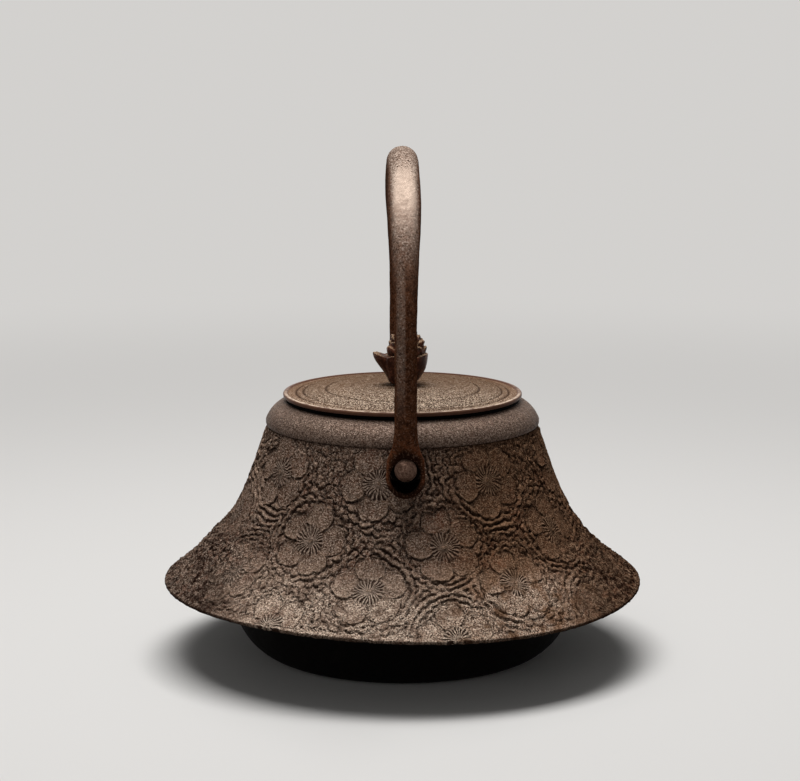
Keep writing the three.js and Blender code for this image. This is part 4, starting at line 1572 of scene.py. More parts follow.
    def map_blossoms(self, body: bpy.types.Object, distance: np.ndarray, on_wall: np.ndarray) -> None:
        """Store where each face lies in the coordinates of its nearest blossom, and this one's phases, as UV maps.

        Args:
            body: The finished casting.
            distance: How far down the flare each vertex lies.
            on_wall: Which vertices lie on the flare.
        """
        places = coordinates(body)
        azimuth = np.arctan2(places[:, 1], places[:, 0])
        corners = np.empty(len(body.data.loops), np.int64)
        body.data.loops.foreach_get("vertex_index", corners)
        sizes = np.array([face.loop_total for face in body.data.polygons])
        firsts = np.array([face.loop_start for face in body.data.polygons])
        nearest, rho, theta = self.relief.locate(azimuth, distance, self.spout_middle())
        chosen = np.repeat(nearest[corners[firsts]], sizes)
        rho, theta = rho[chosen, corners], theta[chosen, corners]
        flat = np.stack([rho * np.cos(theta), rho * np.sin(theta)], 1)
        flat[~on_wall[corners]] = 1.0
        phases = self.relief.blossoms(self.spout_middle())[chosen, 3:]
        for name, values in (("blossom", flat), ("phases", phases)):
            layer = body.data.uv_layers.new(name=name)
            layer.data.foreach_set("uv", values.astype(np.float32).ravel())

    def dress(self, body: bpy.types.Object) -> None:
        """Give the outside, the fire side and the inside their finishes, and fit the body into the frame."""
        line = self.flare.drawn(0.25 * MM)
        places = coordinates(body)
        found, gap = self.nearest(places, line[:, 1:])
        on_wall = gap < 2 * MM
        share = self.relief_share(places, line[found, 0])
        crest = self.relief_height(places, line[found, 0]) + 0.4 * (1 - share)
        crest = np.where(on_wall, crest, 0.4)
        beside = np.hypot(places[:, 0], places[:, 2] - self.pivot)
        # Painted shade: the bosses get the relief's lowest value, so the finish paints them dark.
        crest[(beside < self.boss_radius + 1 * MM) & (np.abs(places[:, 1]) > self.boss_inner)] = 0
        set_attribute(body, "crest", crest)
        set_attribute(body, "fade", share * on_wall)
        crust = self.relief.crusted(np.arctan2(places[:, 1], places[:, 0]), line[found, 0])
        set_attribute(body, "crust", crust * on_wall)
        # How far each place faces up beyond the plain wall, for the finish to paint up-facing slopes paler, partly dust
        # and partly painted light, and down-facing slopes dark as painted shade.
        normals = np.empty(len(places) * 3)
        body.data.vertex_normals.foreach_get("vector", normals)
        along = np.gradient(line[:, 1:], axis=0)
        level = (along[:, 0] / np.hypot(*along.T))[found]
        set_attribute(body, "upturned", (normals[2::3] - level) * on_wall)
        # Sand on the lower skirt, thinned on the rim's lower edge as painted shade.
        skirt = smoothstep(58 * MM, 40 * MM, places[:, 2]) * (1 - 0.35 * smoothstep(33.0 * MM, 32.0 * MM, places[:, 2]))
        set_attribute(body, "skirt", skirt)
        # Painted shade: the bosses behind the handle's eyes painted dark, nearly black at their end faces and below
        # them, where the lug's dome and the eye shade them.
        behind_eye = np.hypot(places[:, 0] / 0.88, places[:, 2] - self.pivot + 3.2 * MM)
        beside_eye = (np.abs(places[:, 1]) > self.boss_inner) & (np.abs(places[:, 1]) < self.boss_face + 2 * MM)
        near_face = smoothstep(self.boss_face - 3 * MM, self.boss_face - 0.8 * MM, np.abs(places[:, 1]))
        under = smoothstep(self.pivot - 3 * MM, self.pivot - 5.5 * MM, places[:, 2])
        boss_shade = smoothstep(9.4 * MM, 8.4 * MM, behind_eye) * beside_eye * (0.3 + 0.7 * np.maximum(near_face, under))
        set_attribute(body, "boss_shade", boss_shade)
        # Painted shade: the band darker towards its lower edge and on the roll under the lid's edge.
        roll = smoothstep(self.shoulder[1] - 2.6 * MM, self.shoulder[1] - 0.6 * MM, places[:, 2])
        set_attribute(body, "band_shade", np.maximum(smoothstep(106.8 * MM, 103 * MM, places[:, 2]), 0.7 * roll))
        self.map_blossoms(body, line[found, 0], on_wall)
        outside = ReliefIron(
            "sand_cast_iron",
            hollow=(0.020, 0.010, 0.007),
            face=(0.140, 0.074, 0.046),
            crest=(0.450, 0.312, 0.222),
            rust=(0.190, 0.068, 0.038),
            roughness=0.7,
            specular=0.0,
            speckled=0.95,
            grain_depth=0.22 * MM,
            mottle_depth=0.4 * MM,
            mottled=0.4,
            relief=self.relief,
        )
        plain = SandCastIron(
            "band_iron",
            hollow=(0.030, 0.017, 0.012),
            face=(0.180, 0.118, 0.088),
            crest=(0.500, 0.378, 0.302),
            rust=(0.120, 0.052, 0.032),
            rust_share=0.3,
            roughness=0.45,
            specular=0.05,
            grain=0.7 * MM,
            grain_depth=0.12 * MM,
            metallic=0.25,
            tint=(0.30, 0.24, 0.20),
            speckled=0.4,
            shaded="band_shade",
        )
        body.data.materials.clear()
        for finish in (outside, SootyIron("sooty_iron"), ScaledIron("scaled_iron"), plain):
            body.data.materials.append(finish.material())
        stretches = {
            0: [*(tuple(p[1:]) for p in line), *self.rim()[:5]],
            1: [*self.rim()[5:], *self.fire_side()],
            2: self.inside()[4:],
            3: self.band()[1:],
            4: self.inside()[:4],
        }
        centres = np.array([face.center for face in body.data.polygons])
        kinds = np.concatenate([np.full(len(close(points)), kind) for kind, points in stretches.items()])
        profile = np.concatenate([close(points) for points in stretches.values()])
        found, gap = self.nearest(centres, profile)
        kind = np.where(gap < 1.8 * MM, kinds[found], 0)
        # Painted shade: the ring's outer side under the lid's edge gets the nearly black sooty finish.
        kind[kind == 4] = 1
        # Painted shade: the bosses' end faces get the nearly black sooty finish, where the lug's dome shades them.
        beside = np.hypot(centres[:, 0], centres[:, 2] - self.pivot)
        away = np.abs(centres[:, 1]) - self.boss_face
        kind[(beside < self.boss_radius + 0.3 * MM) & (away > -0.8 * MM) & (away < 0.5 * MM)] = 1
        rise = math.radians(self.spout_rise)
        along = (centres[:, 1] - self.spout_root[0]) * math.cos(rise) + (centres[:, 2] - self.spout_root[1]) * math.sin(rise)
        bore = np.interp(along, (0, self.spout_length), self.spout_bore) + 0.6 * MM
        kind[(self.from_spout(centres) < bore) & (centres[:, 1] > self.spout_root[0])] = 2
        body.data.polygons.foreach_set("material_index", kind.astype(np.int32))
        self.warp(body)
        smooth_shading(body, 50)
        put_in_place(body, "kettle", Slot.CAST, "kettle_body")


# The lugs


@dataclass(frozen=True)
class Lug:
    """A pin through a boss: a dome outside the handle's eye, and a peened head inside the wall."""

    side: Side
    node: str
    radius: float = 3.2 * MM
    head_radius: float = 4.55 * MM
    head_height: float = 4.8 * MM
    head_start: float = 70.39 * MM
    peen_radius: float = 4.8 * MM
    peen_height: float = 1.6 * MM
    peen_start: float = 54.29 * MM
    pivot: float = 93.5 * MM

    def build(self) -> bpy.types.Object:
        """Turn the pin and lay it along the handle's axis.

        Returns:
            The pin, in place.
        """
        soft = 0.35 * MM
        inner = self.peen_start - self.peen_height
        peen = [(0, inner), (self.peen_radius * 0.55, inner + 0.15 * MM), (self.peen_radius - 0.3 * MM, inner + 0.7 * MM)]
        peen += [(self.peen_radius, self.peen_start - 0.4 * MM), (self.peen_radius - 0.2 * MM, self.peen_start)]
        shank = [(self.radius, self.peen_start), (self.radius, self.head_start)]
        dome = [(self.head_radius - soft, self.head_start), (self.head_radius, self.head_start + soft)]
        for angle in np.radians(np.linspace(6, 90, 16)):
            rise = soft + (self.head_height - soft) * math.sin(angle) ** 0.9
            dome.append((self.head_radius * math.cos(angle), self.head_start + rise))
        dome[-1] = (0, self.head_start + self.head_height)
        piece = turn(self.node, [*peen, *shank, *dome], 64)
        face_outwards(piece)
        piece.data.transform(Matrix.Rotation(-self.side.value * math.pi / 2, 4, "X"))
        piece.data.transform(Matrix.Translation((0, 0, self.pivot)))
        return piece

    def dress(self, piece: bpy.types.Object, finish: bpy.types.Material) -> None:
        """Give the pin its finish and fit it into the frame."""
        piece.data.materials.append(finish)
        smooth_shading(piece, 50)
        put_in_place(piece, "kettle", Slot.CAST, self.node)


# The handle


@dataclass(frozen=True)
class Section:
    """One section of the handle, in the YZ plane: place, width, depth, squareness, tilt, and its facets' turn and softness."""

    y: float
    z: float
    wide: float
    deep: float
    square: float
    tilt: float
    turned: float = 0.0
    soft: float = 0.0


@dataclass
class Handle:
    """The forged bail: two oval eyes, two legs and an arch that is thickest at the grip."""

    pivot: float = 93.5 * MM
    eye_middle: float = 67.39 * MM
    eye_thickness: float = 5.2 * MM
    eye_hole: Point = (6.1 * MM, 7.1 * MM)
    eye_width: float = 1.9 * MM
    eye_height: float = 90.3 * MM
    hoop_radius: float = 69.99 * MM
    hoop_height: float = 141 * MM
    leg_bend: float = 15 * MM
    leg_radius: float = 5 * MM
    grip_radius: float = 6.55 * MM
    sides: int = 40
    facet: float = 0.8
    voxel: float = 0.5 * MM
    dents: float = 0.35 * MM
    pits: float = 0.28 * MM

    def leg(self) -> list[Section]:
        """Sections of one leg, from the middle of its eye up to the arch."""
        half = self.eye_thickness / 2
        wide = self.eye_hole[0] + self.eye_width
        high = self.eye_hole[1] + self.eye_width
        top = self.eye_height + high
        steps = (
            (0.0, self.eye_height, 0.97, half, 1.0),
            (0.0, self.eye_height + high * 0.5, 0.97, half, 1.0),
            (0.0, self.eye_height + high * 0.75, 0.95, half, 1.0),
            (0.0, top - 0.7 * MM, 0.86, half, 0.9),
            (0.12, top + self.leg_bend * 0.11, 0.75, half * 1.08, 0.7),
            (0.35, top + self.leg_bend * 0.28, 0.665, half * 1.3, 0.4),
            (0.8, top + self.leg_bend * 0.56, 0.605, self.leg_radius * 0.9, 0.1),
            (1.0, top + self.leg_bend, 0.575, self.leg_radius, 0.0),
            (1.0, self.hoop_height - 4 * MM, 0.575, self.leg_radius, 0.0),
        )
        out = self.hoop_radius - self.eye_middle
        return [
            Section(self.eye_middle + out * bent, z, wide * share, deep, square, -math.pi / 2)
            for bent, z, share, deep, square in steps
        ]

    def sections(self) -> list[Section]:
        """All sections, from the rear eye over the arch to the eye on the spout's side."""
        keys = self.leg()
        heights = [s.z for s in keys]
        fine = np.linspace(heights[0], heights[-1], 56)
        columns = {name: np.interp(fine, heights, [getattr(s, name) for s in keys]) for name in ("y", "wide", "deep", "square")}
        up = [Section(y, z, w, d, s, -math.pi / 2) for z, y, w, d, s in zip(fine, *columns.values())]
        rear = [Section(-s.y, s.z, s.wide, s.deep, s.square, math.pi / 2) for s in up]
        arch = []
        for angle in np.linspace(0, math.pi, 121):
            thick = self.leg_radius + (self.grip_radius - self.leg_radius) * math.sin(angle) ** 0.9
            slim, swollen = 0.92 * self.leg_radius, float(smoothstep(0.1, 0.85, np.array(math.sin(angle))))
            wide = slim + (self.grip_radius - slim) * swollen
            wide *= 1 + 0.06 * math.exp(-(((math.sin(angle) - 0.8) / 0.15) ** 2))
            y, z = -self.hoop_radius * math.cos(angle), self.hoop_height + self.hoop_radius * math.sin(angle)
            facing = math.pi / 8 * float(smoothstep(0.15, 0.7, np.array(math.sin(angle))))
            soft = float(smoothstep(0.88, 1.0, np.array(math.sin(angle))))
            square = 0.65 * (1 - soft) * float(smoothstep(0.3, 0.75, np.array(math.sin(angle))))
            arch.append(Section(y, z, wide, thick, square, math.pi / 2 - angle, facing, soft))
        return [*rear, *arch, *reversed(up)]

    def ring(self, section: Section) -> list[tuple[float, float, float]]:
        """The outline of one section, closed on its first point.

        Args:
            section: The section.

        Returns:
            Its points.
        """
        power = 1 - 0.6 * section.square
        points = []
        for turned in np.linspace(0, 2 * math.pi, self.sides + 1):
            eighth = math.pi / 4
            flat = math.cos(eighth / 2) / math.cos((turned + section.turned) % eighth - eighth / 2)
            round_ = 1 - self.facet * (1 - section.square) * (1 - section.soft) * (1 - flat)
            side, across = round_ * math.cos(turned), round_ * math.sin(turned)
            side = section.wide * math.copysign(abs(side) ** power, side)
            across = section.deep * math.copysign(abs(across) ** power, across)
            y = section.y + across * math.sin(section.tilt)
            points.append((side, y, section.z - across * math.cos(section.tilt)))
        return points

    def eye_ring(self, side: Side) -> bpy.types.Object:
        """The oval ring round a lug, with rounded edges.

        Args:
            side: Which lug.

        Returns:
            The ring.
        """
        half_width, half_depth = self.eye_width / 2, self.eye_thickness / 2
        rows = []
        for turned in np.linspace(0, 2 * math.pi, 73):
            row = []
            for round_ in np.linspace(0, 2 * math.pi, 29):
                out = half_width * math.copysign(abs(math.cos(round_)) ** 0.6, math.cos(round_)) + half_width
                across = half_depth * math.copysign(abs(math.sin(round_)) ** 0.6, math.sin(round_))
                x = (self.eye_hole[0] + out) * math.cos(turned)
                z = self.eye_height + (self.eye_hole[1] + out) * math.sin(turned)
                row.append((x, side.value * (self.eye_middle + across), z))
            rows.append(row)
        return loft("eye", rows)

    def build(self) -> bpy.types.Object:
        """Forge the handle: draw out the bar, open the eyes, then hammer it.

        Returns:
            The handle, in place.
        """
        bar = loft("handle", [self.ring(s) for s in self.sections()])
        for side in Side:
            bpy.ops.mesh.primitive_cylinder_add(
                vertices=72,
                radius=1,
                depth=self.eye_thickness * 3,
                location=(0, side.value * self.eye_middle, self.eye_height),
                rotation=(math.pi / 2, 0, 0),
            )
            hole = named("eye_hole")
            grown = 0.4 * MM
            hole.scale = (self.eye_hole[0] + grown, self.eye_hole[1] + grown, 1)
            bpy.ops.object.transform_apply(location=True, rotation=True, scale=True)
            carve(bar, hole, "DIFFERENCE")
        piece = join([bar, *(self.eye_ring(side) for side in Side)], "handle")
        apply_modifier(piece, "REMESH", mode="VOXEL", voxel_size=self.voxel)
        apply_modifier(piece, "SMOOTH", factor=0.5, iterations=5)
        self.hammer(piece)
        return piece

    def hammer(self, piece: bpy.types.Object) -> None:
        """Leave the hammer's dents on the legs, and small pits all over."""
        height = coordinates(piece)[:, 2]
        legs = smoothstep(self.hoop_height + self.hoop_radius * 0.9, self.hoop_height, height)
        legs *= smoothstep(self.pivot + 2 * MM, self.pivot + 12 * MM, height)
        crown = smoothstep(self.hoop_height + self.hoop_radius * 0.93, self.hoop_height + self.hoop_radius * 1.05, height)
        for name, weights in (("legs", 0.4 + 0.6 * legs), ("all", 0.45 + 0.55 * crown)):
            group = piece.vertex_groups.new(name=name)
            for index, weight in enumerate(weights):
                group.add([index], float(weight), "REPLACE")
        dents = cloud("dents", 8 * MM, 1)
        pits = cloud("pits", 1.3 * MM, 2)
        settings = {"texture_coords": "LOCAL"}
        apply_modifier(piece, "DISPLACE", texture=dents, strength=self.dents, vertex_group="legs", **settings)
        apply_modifier(piece, "DISPLACE", texture=pits, strength=self.pits, mid_level=0.6, vertex_group="all", **settings)

    def dress(self, piece: bpy.types.Object) -> None:
        """Give the handle its worn finish, with a painted highlight on the grip and painted shade in the eyes, and fit
        it into the frame.
        """
        height = coordinates(piece)[:, 2]
        crown = smoothstep(self.hoop_height + 68 * MM, self.hoop_height + 74.5 * MM, height)
        clean = smoothstep(self.hoop_height + 42 * MM, self.hoop_height + 60 * MM, height) * (1 - crown)
        across = np.abs(coordinates(piece)[:, 0]) / self.grip_radius
        aside = smoothstep(0.62, 0.95, across)
        narrowed = 0.55 * smoothstep(self.hoop_height + 58 * MM, self.hoop_height + 75 * MM, height)
        clean *= 1 - smoothstep(0.62 - narrowed, 0.9 - narrowed, across)
        set_attribute(piece, "pitted", 1 - 0.85 * clean + 1.3 * crown)
        # Partly wear and partly painted highlight: the grip painted pale where the lamp's highlight falls, less on its
        # crown and at its edges.
        wear_and_highlight = smoothstep(self.hoop_height + 4 * MM, self.hoop_height + 66 * MM, height) ** 2.8
        wear_and_highlight *= (1 - 0.9 * aside * (1 - 0.6 * crown)) * (1 - 0.4 * crown)
        # Painted reflection: a pale stripe down the left side of the leg on the -Y side.
        across = coordinates(piece)[:, 0] / self.leg_radius
        facet = smoothstep(0.02, -0.12, across) * smoothstep(-0.85, -0.6, across) * (coordinates(piece)[:, 1] < 0)
        facet *= smoothstep(self.pivot + 14 * MM, self.hoop_height, height)
        set_attribute(piece, "wear_and_highlight", np.maximum(wear_and_highlight, 0.24 * facet))
        set_attribute(piece, "rusty", smoothstep(self.pivot + 16 * MM, self.pivot + 6 * MM, height))
        # Painted shade: inside the eye round the pin and on the eye's lower part, painted nearly black where the ring
        # and the pin shade them.
        near_pin = np.hypot(coordinates(piece)[:, 0] / (7 * MM), (height - self.pivot + 1 * MM) / (9.4 * MM))
        below = smoothstep(self.eye_height - 1 * MM, self.eye_height - 5 * MM, height)
        set_attribute(piece, "eye_shade", np.maximum(smoothstep(1.12, 0.85, near_pin), below))
        finish = ForgedIron(
            "forged_iron",
            low=(0.024, 0.008, 0.004),
            face=(0.135, 0.052, 0.024),
            rubbed_and_highlight=(0.415, 0.322, 0.260),
            speck=(0.600, 0.490, 0.410),
            roughness=0.52,
            specular=0.0,
            worn=True,
        )
        piece.data.materials.append(finish.material())
        smooth_shading(piece, 60)
        put_in_place(piece, "bail", Slot.FORGED, "handle")


# The lid


@dataclass
class Lid:
    """The lid: a turned disc with an edge bead and fine grooves, and a flange that fits the mouth."""

    radius: float = 50.8 * MM
    underside: float = 111.5 * MM
    edge: float = 113.3 * MM
    top: float = 116.3 * MM
    crown: float = 3.4 * MM
    plate: float = 2.6 * MM
    bead: float = 1.8 * MM
    flange_radius: float = 42.8 * MM
    flange_width: float = 2.6 * MM
    flange_foot: float = 104.5 * MM
    hole: float = 2.6 * MM
    sides: int = 480
    step: float = 0.42 * MM
    grooves: tuple[tuple[float, float, float], ...] = (
        (45.2 * MM, 0.45 * MM, 0.60 * MM),
        (42.2 * MM, 0.45 * MM, 0.60 * MM),
        (40.4 * MM, 0.40 * MM, 0.22 * MM),
        (38.4 * MM, 0.40 * MM, 0.18 * MM),
        (36.0 * MM, 0.40 * MM, 0.18 * MM),
        (32.6 * MM, 0.45 * MM, 0.60 * MM),
        (21.5 * MM, 0.60 * MM, 0.14 * MM),
    )

    def crowned(self, radius: float, top: float) -> float:
        """The height of the crown at a radius."""
        return top - self.crown * (radius / (self.radius - self.bead)) ** 2

    def cut(self, radius: np.ndarray) -> np.ndarray:
        """How deep the grooves cut at a radius."""
        return sum(depth * np.exp(-(((radius - at) / width) ** 2)) for at, width, depth in self.grooves)

    def profile(self) -> list[Point]:
        """The closed profile, from the hole's upper edge out over the bead and back under the plate."""
        field_edge = self.radius - self.bead
        over = []
        for radius in np.linspace(self.hole + 0.3 * MM, field_edge, round(field_edge / self.step)):
            over.append((radius, self.crowned(radius, self.top) - float(self.cut(radius))))
        soft = 0.7 * MM
        bead = [(field_edge + 0.15 * MM, self.edge - 0.1 * MM), (field_edge + 0.6 * MM, self.edge + 0.02 * MM)]
        edge = arc((self.radius - soft, self.edge - soft), soft, 75, 0, 6)
        edge += arc((self.radius - soft, self.underside + soft), soft, 0, -90, 5)
        foot = self.flange_radius - 0.8 * MM
        inner = self.flange_radius - self.flange_width
        flange = [(self.flange_radius + 0.4 * MM, self.underside), (self.flange_radius, self.underside - 0.4 * MM)]
        flange += [(self.flange_radius, self.flange_foot + 0.8 * MM), (foot, self.flange_foot)]
        flange += [(inner + 0.3 * MM, self.flange_foot), (inner, self.flange_foot + 0.3 * MM)]
        low = self.top - self.plate
        under = [(r, self.crowned(r, low)) for r in np.linspace(inner - 1.2 * MM, self.hole + 0.2 * MM, 12)]
        flange.append((inner, self.crowned(inner, low) - 0.6 * MM))
        hole = [(self.hole, low + 0.2 * MM), (self.hole, self.top - 0.3 * MM)]
        return [*over, *bead, *edge, *flange, *under, *hole, over[0]]

    def build(self) -> bpy.types.Object:
        """Turn the lid and roughen its field.

        Returns:
            The lid, in place.
        """
        piece = turn("lid", self.profile(), self.sides)
        face_outwards(piece)
        places = coordinates(piece)
        radius = np.hypot(places[:, 0], places[:, 1])
        field_edge = self.radius - self.bead
        above = places[:, 2] > self.crowned(radius, self.top) - 0.6 * MM
        sandy = above * smoothstep(field_edge, field_edge - 1 * MM, radius)
        group = piece.vertex_groups.new(name="sandy")
        for index, weight in enumerate(sandy):
            group.add([index], float(weight), "REPLACE")
        stipple = cloud("stipple", 0.9 * MM, 1)
        settings = {"texture": stipple, "texture_coords": "LOCAL", "mid_level": 0.75}
        apply_modifier(piece, "DISPLACE", strength=0.6 * MM, vertex_group="sandy", **settings)
        return piece

    def dress(self, piece: bpy.types.Object) -> None:
        """Give the lid its sandy finish and fit it into the frame."""
        places = coordinates(piece)
        radius = np.hypot(places[:, 0], places[:, 1])
        edge = self.radius - self.bead
        top = places[:, 2] > self.crowned(radius, self.top) - 1.5 * MM
        field = smoothstep(edge + 0.2 * MM, edge - 0.7 * MM, radius)
        set_attribute(piece, "field", field)
        set_attribute(piece, "sanded", field * (0.7 + 0.3 * smoothstep(45.5 * MM, 41 * MM, radius)))
        # How deep the grooves cut, for the finish to paint them dark as shade.
        set_attribute(piece, "groove", np.clip(self.cut(radius) / (0.45 * MM), 0, 1) * top)
        # A stain round the knob, and painted shade that darkens the lid towards its back.
        from_knob = np.hypot(places[:, 0], places[:, 1] - 4 * MM)
        stain_and_shade = np.maximum(smoothstep(24 * MM, 6 * MM, from_knob), 0.95 * smoothstep(-45 * MM, 22 * MM, places[:, 1]))
        set_attribute(piece, "stain_and_shade", stain_and_shade)
        # Painted highlight, partly wear: a pale line along the bead's top edge at the front.
        rubbed_and_highlight = smoothstep(self.edge - 0.5 * MM, self.edge - 0.05 * MM, places[:, 2])
        rubbed_and_highlight *= smoothstep(20 * MM, -30 * MM, places[:, 1]) * smoothstep(edge - 0.2 * MM, edge + 0.3 * MM, radius)
        set_attribute(piece, "rubbed_and_highlight", rubbed_and_highlight * smoothstep(self.radius - 0.2 * MM, self.radius - 0.7 * MM, radius))
        finish = LidIron(
            "lid_iron",
            hollow=(0.045, 0.022, 0.012),
            face=(0.310, 0.195, 0.128),
            crest=(0.950, 0.750, 0.570),
            rust=(0.190, 0.095, 0.055),
            rust_share=0.35,
            roughness=0.6,
            specular=0.03,
            speckled=1.0,
            tint=(0.40, 0.32, 0.26),
            grain=1.1 * MM,
            grain_depth=0.5 * MM,
        )
        piece.data.materials.append(finish.material())
        smooth_shading(piece, 50)
        put_in_place(piece, "lid", Slot.LID, "lid")


# The knob


@dataclass(frozen=True)
class Ruffle:
    """A ring of small rounded petals: how many, where, how large and how far they lean out."""

    count: int
    out: float
    height: float
    size: tuple[float, float, float]
    lean: float


@dataclass
class Knob:
    """The knob: a half-open blossom on a riveted tang, with one petal that stands out in a point."""

    foot_radius: float = 4.6 * MM
    offset: float = 1.2 * MM
    lean: float = 1.6 * MM
    bottom: float = 116.6 * MM
    height: float = 24.8 * MM
    cup_radius: float = 9.4 * MM
    cup_height: float = 12.9 * MM
    lip_reach: float = 4.2 * MM
    petal_tip: float = 0.6 * MM
    petal_notch: float = 1.3 * MM
    tang_radius: float = 2.3 * MM
    rivet_radius: float = 3.8 * MM
    rivet_low: float = 110.4 * MM
    rivet_top: float = 111.9 * MM
    voxel: float = 0.3 * MM
    creases: tuple[float, ...] = (38, 96, 140, 206, 283)
    ruffles: tuple[Ruffle, ...] = (
        Ruffle(7, 6.9 * MM, 14.0 * MM, (1.2 * MM, 3.7 * MM, 2.7 * MM), 30),
        Ruffle(7, 6.2 * MM, 16.7 * MM, (1.2 * MM, 3.1 * MM, 2.5 * MM), 24),
        Ruffle(6, 5.2 * MM, 19.2 * MM, (1.2 * MM, 2.8 * MM, 2.4 * MM), 16),
        Ruffle(5, 3.9 * MM, 21.5 * MM, (1.1 * MM, 2.4 * MM, 2.1 * MM), 8),
        Ruffle(3, 1.7 * MM, 23.0 * MM, (1.0 * MM, 1.9 * MM, 1.7 * MM), 0),
    )

    def cup(self, height: float, turned: float) -> float:
        """The cup's radius at a height above its foot and an angle about its middle."""
        share = min(1.0, height / self.cup_height)
        plain = self.foot_radius + (self.cup_radius - self.foot_radius) * math.sin(share * math.pi / 2) ** 0.62
        swell = 0.25 * MM - 0.65 * MM * math.exp(-((self.from_crease(height, turned) / 0.07) ** 2))
        rise = float(smoothstep(0.15 * self.cup_height, self.cup_height, np.array(height)))
        away = (turned - math.pi) / 0.5
        return plain + swell * share + self.lip_reach * rise * math.exp(-away * away)

    def from_crease(self, height: float, turned: float) -> float:
        """The angle from the nearest crease between two petals, at a height above the cup's foot."""
        share = min(1.0, height / self.cup_height)
        return min(abs(turned % (2 * math.pi) - math.radians(at + 9 * share)) for at in self.creases)

    def ring(self, radius: float, height: float) -> list[tuple[float, float, float]]:
        """A plain round ring about the tang, closed on its first point."""
        angles = np.linspace(0, 2 * math.pi, 73)
        return [(radius * math.cos(a), radius * math.sin(a), height) for a in angles]

    def cup_ring(self, height: float, inward: float, rise: float) -> list[tuple[float, float, float]]:
        """A ring of the cup, closed on its first point.

        Args:
            height: The height above the foot at which the cup's outline is taken.
            inward: How far inside that outline the ring lies, as a share of its radius.
            rise: How far above that height it lies.

        Returns:
            Its points.
        """
        aside = self.offset * min(1.0, height / (self.cup_height / 2))
        points = []
        for turned in np.linspace(0, 2 * math.pi, 73):
            radius = self.cup(height, turned) * (1 - inward)
            x, y = aside + radius * math.cos(turned), radius * math.sin(turned)
            wave = self.petal_tip * math.exp(-(((turned - math.pi) / 0.5) ** 2))
            wave -= self.petal_notch * math.exp(-((self.from_crease(height, turned) / 0.22) ** 2))
            wave *= (height / self.cup_height) ** 3 * max(0.0, 1 - 2 * inward)
            points.append((x, y, self.bottom + height + rise + wave))
        return points

    def core(self) -> bpy.types.Object:
        """Shape the solid middle: rivet head, tang, cup with its pointed petal, and heart.

        Returns:
            The middle, leaning as the cup does.
        """
        rings = [self.ring(0.2 * MM, self.rivet_low), self.ring(self.rivet_radius * 0.7, self.rivet_low + 0.1 * MM)]
        rings += [self.ring(self.rivet_radius, self.rivet_low + 0.8 * MM), self.ring(self.rivet_radius, self.rivet_top)]
        rings += [self.ring(self.tang_radius, self.rivet_top), self.ring(self.tang_radius, self.bottom)]
        for height in np.linspace(0, self.cup_height, 24):
            rings.append(self.cup_ring(height, 0.05 * math.exp(-height / (0.5 * MM)), 0))
        for inward, rise in ((0.04, 0.3), (0.10, 0.1), (0.18, -0.7), (0.28, -1.3), (0.42, -0.4)):
            rings.append(self.cup_ring(self.cup_height, inward, rise * MM))
        heart = self.height - self.cup_height - 3.4 * MM
        for angle in np.radians(np.linspace(10, 88, 8)):
            inward = 1 - 0.5 * math.cos(angle) ** 0.8
            rings.append(self.cup_ring(self.cup_height, inward, heart * math.sin(angle)))
        return loft("core", rings)

    def build(self) -> bpy.types.Object:
        """Model the knob.

        Returns:
            The knob, in place.
        """
        dice = np.random.default_rng(SEED + 7)
        parts = [self.core()]
        for row, ruffle in enumerate(self.ruffles):
            for i in range(ruffle.count):
                turned = 2 * math.pi * (i + 0.5 * (row % 2)) / ruffle.count + dice.uniform(-0.12, 0.12)
                out = ruffle.out + dice.uniform(-0.3, 0.3) * MM
                height = self.bottom + ruffle.height + dice.uniform(-0.35, 0.35) * MM
                place = (self.lean + out * math.cos(turned), out * math.sin(turned), height)
                tilt = math.radians(ruffle.lean + dice.uniform(-6, 6))
                bpy.ops.mesh.primitive_uv_sphere_add(
                    segments=24, ring_count=16, radius=1, location=place, rotation=(0, tilt, turned), scale=ruffle.size
                )
                parts.append(named("ruffle"))
                bpy.ops.object.transform_apply(location=True, rotation=True, scale=True)
        piece = join(parts, "knob")
        apply_modifier(piece, "REMESH", mode="VOXEL", voxel_size=self.voxel)
        apply_modifier(piece, "SMOOTH", factor=0.5, iterations=2)
        height = coordinates(piece)[:, 2] - self.bottom
        upper = smoothstep(self.cup_height - 1 * MM, self.cup_height + 1 * MM, height)
        group = piece.vertex_groups.new(name="ruffled")
        for index, weight in enumerate(0.12 + 0.88 * upper):
            group.add([index], float(weight), "REPLACE")
        crinkle = cloud("crinkle", 1.8 * MM, 1)
        settings = {"texture": crinkle, "texture_coords": "LOCAL", "mid_level": 0.6}
        apply_modifier(piece, "DISPLACE", strength=0.7 * MM, vertex_group="ruffled", **settings)
        return piece

    def dress(self, piece: bpy.types.Object) -> None:
        """Give the knob its dark reddish finish and fit it into the frame."""
        height = coordinates(piece)[:, 2] - self.bottom
        set_attribute(piece, "upper", smoothstep(self.cup_height - 1.0 * MM, self.cup_height + 0.4 * MM, height))
        # How far each place faces up, for the finish to paint up-facing faces paler: partly dust, partly painted light
        # from above.
        normals = np.empty(len(height) * 3)
        piece.data.vertex_normals.foreach_get("vector", normals)
        set_attribute(piece, "upward", normals[2::3])
        piece.data.materials.append(BlossomIron("knob_iron").material())
        smooth_shading(piece, 60)
        put_in_place(piece, "knob", Slot.KNOB, "knob")


# The small pieces that stay as they came


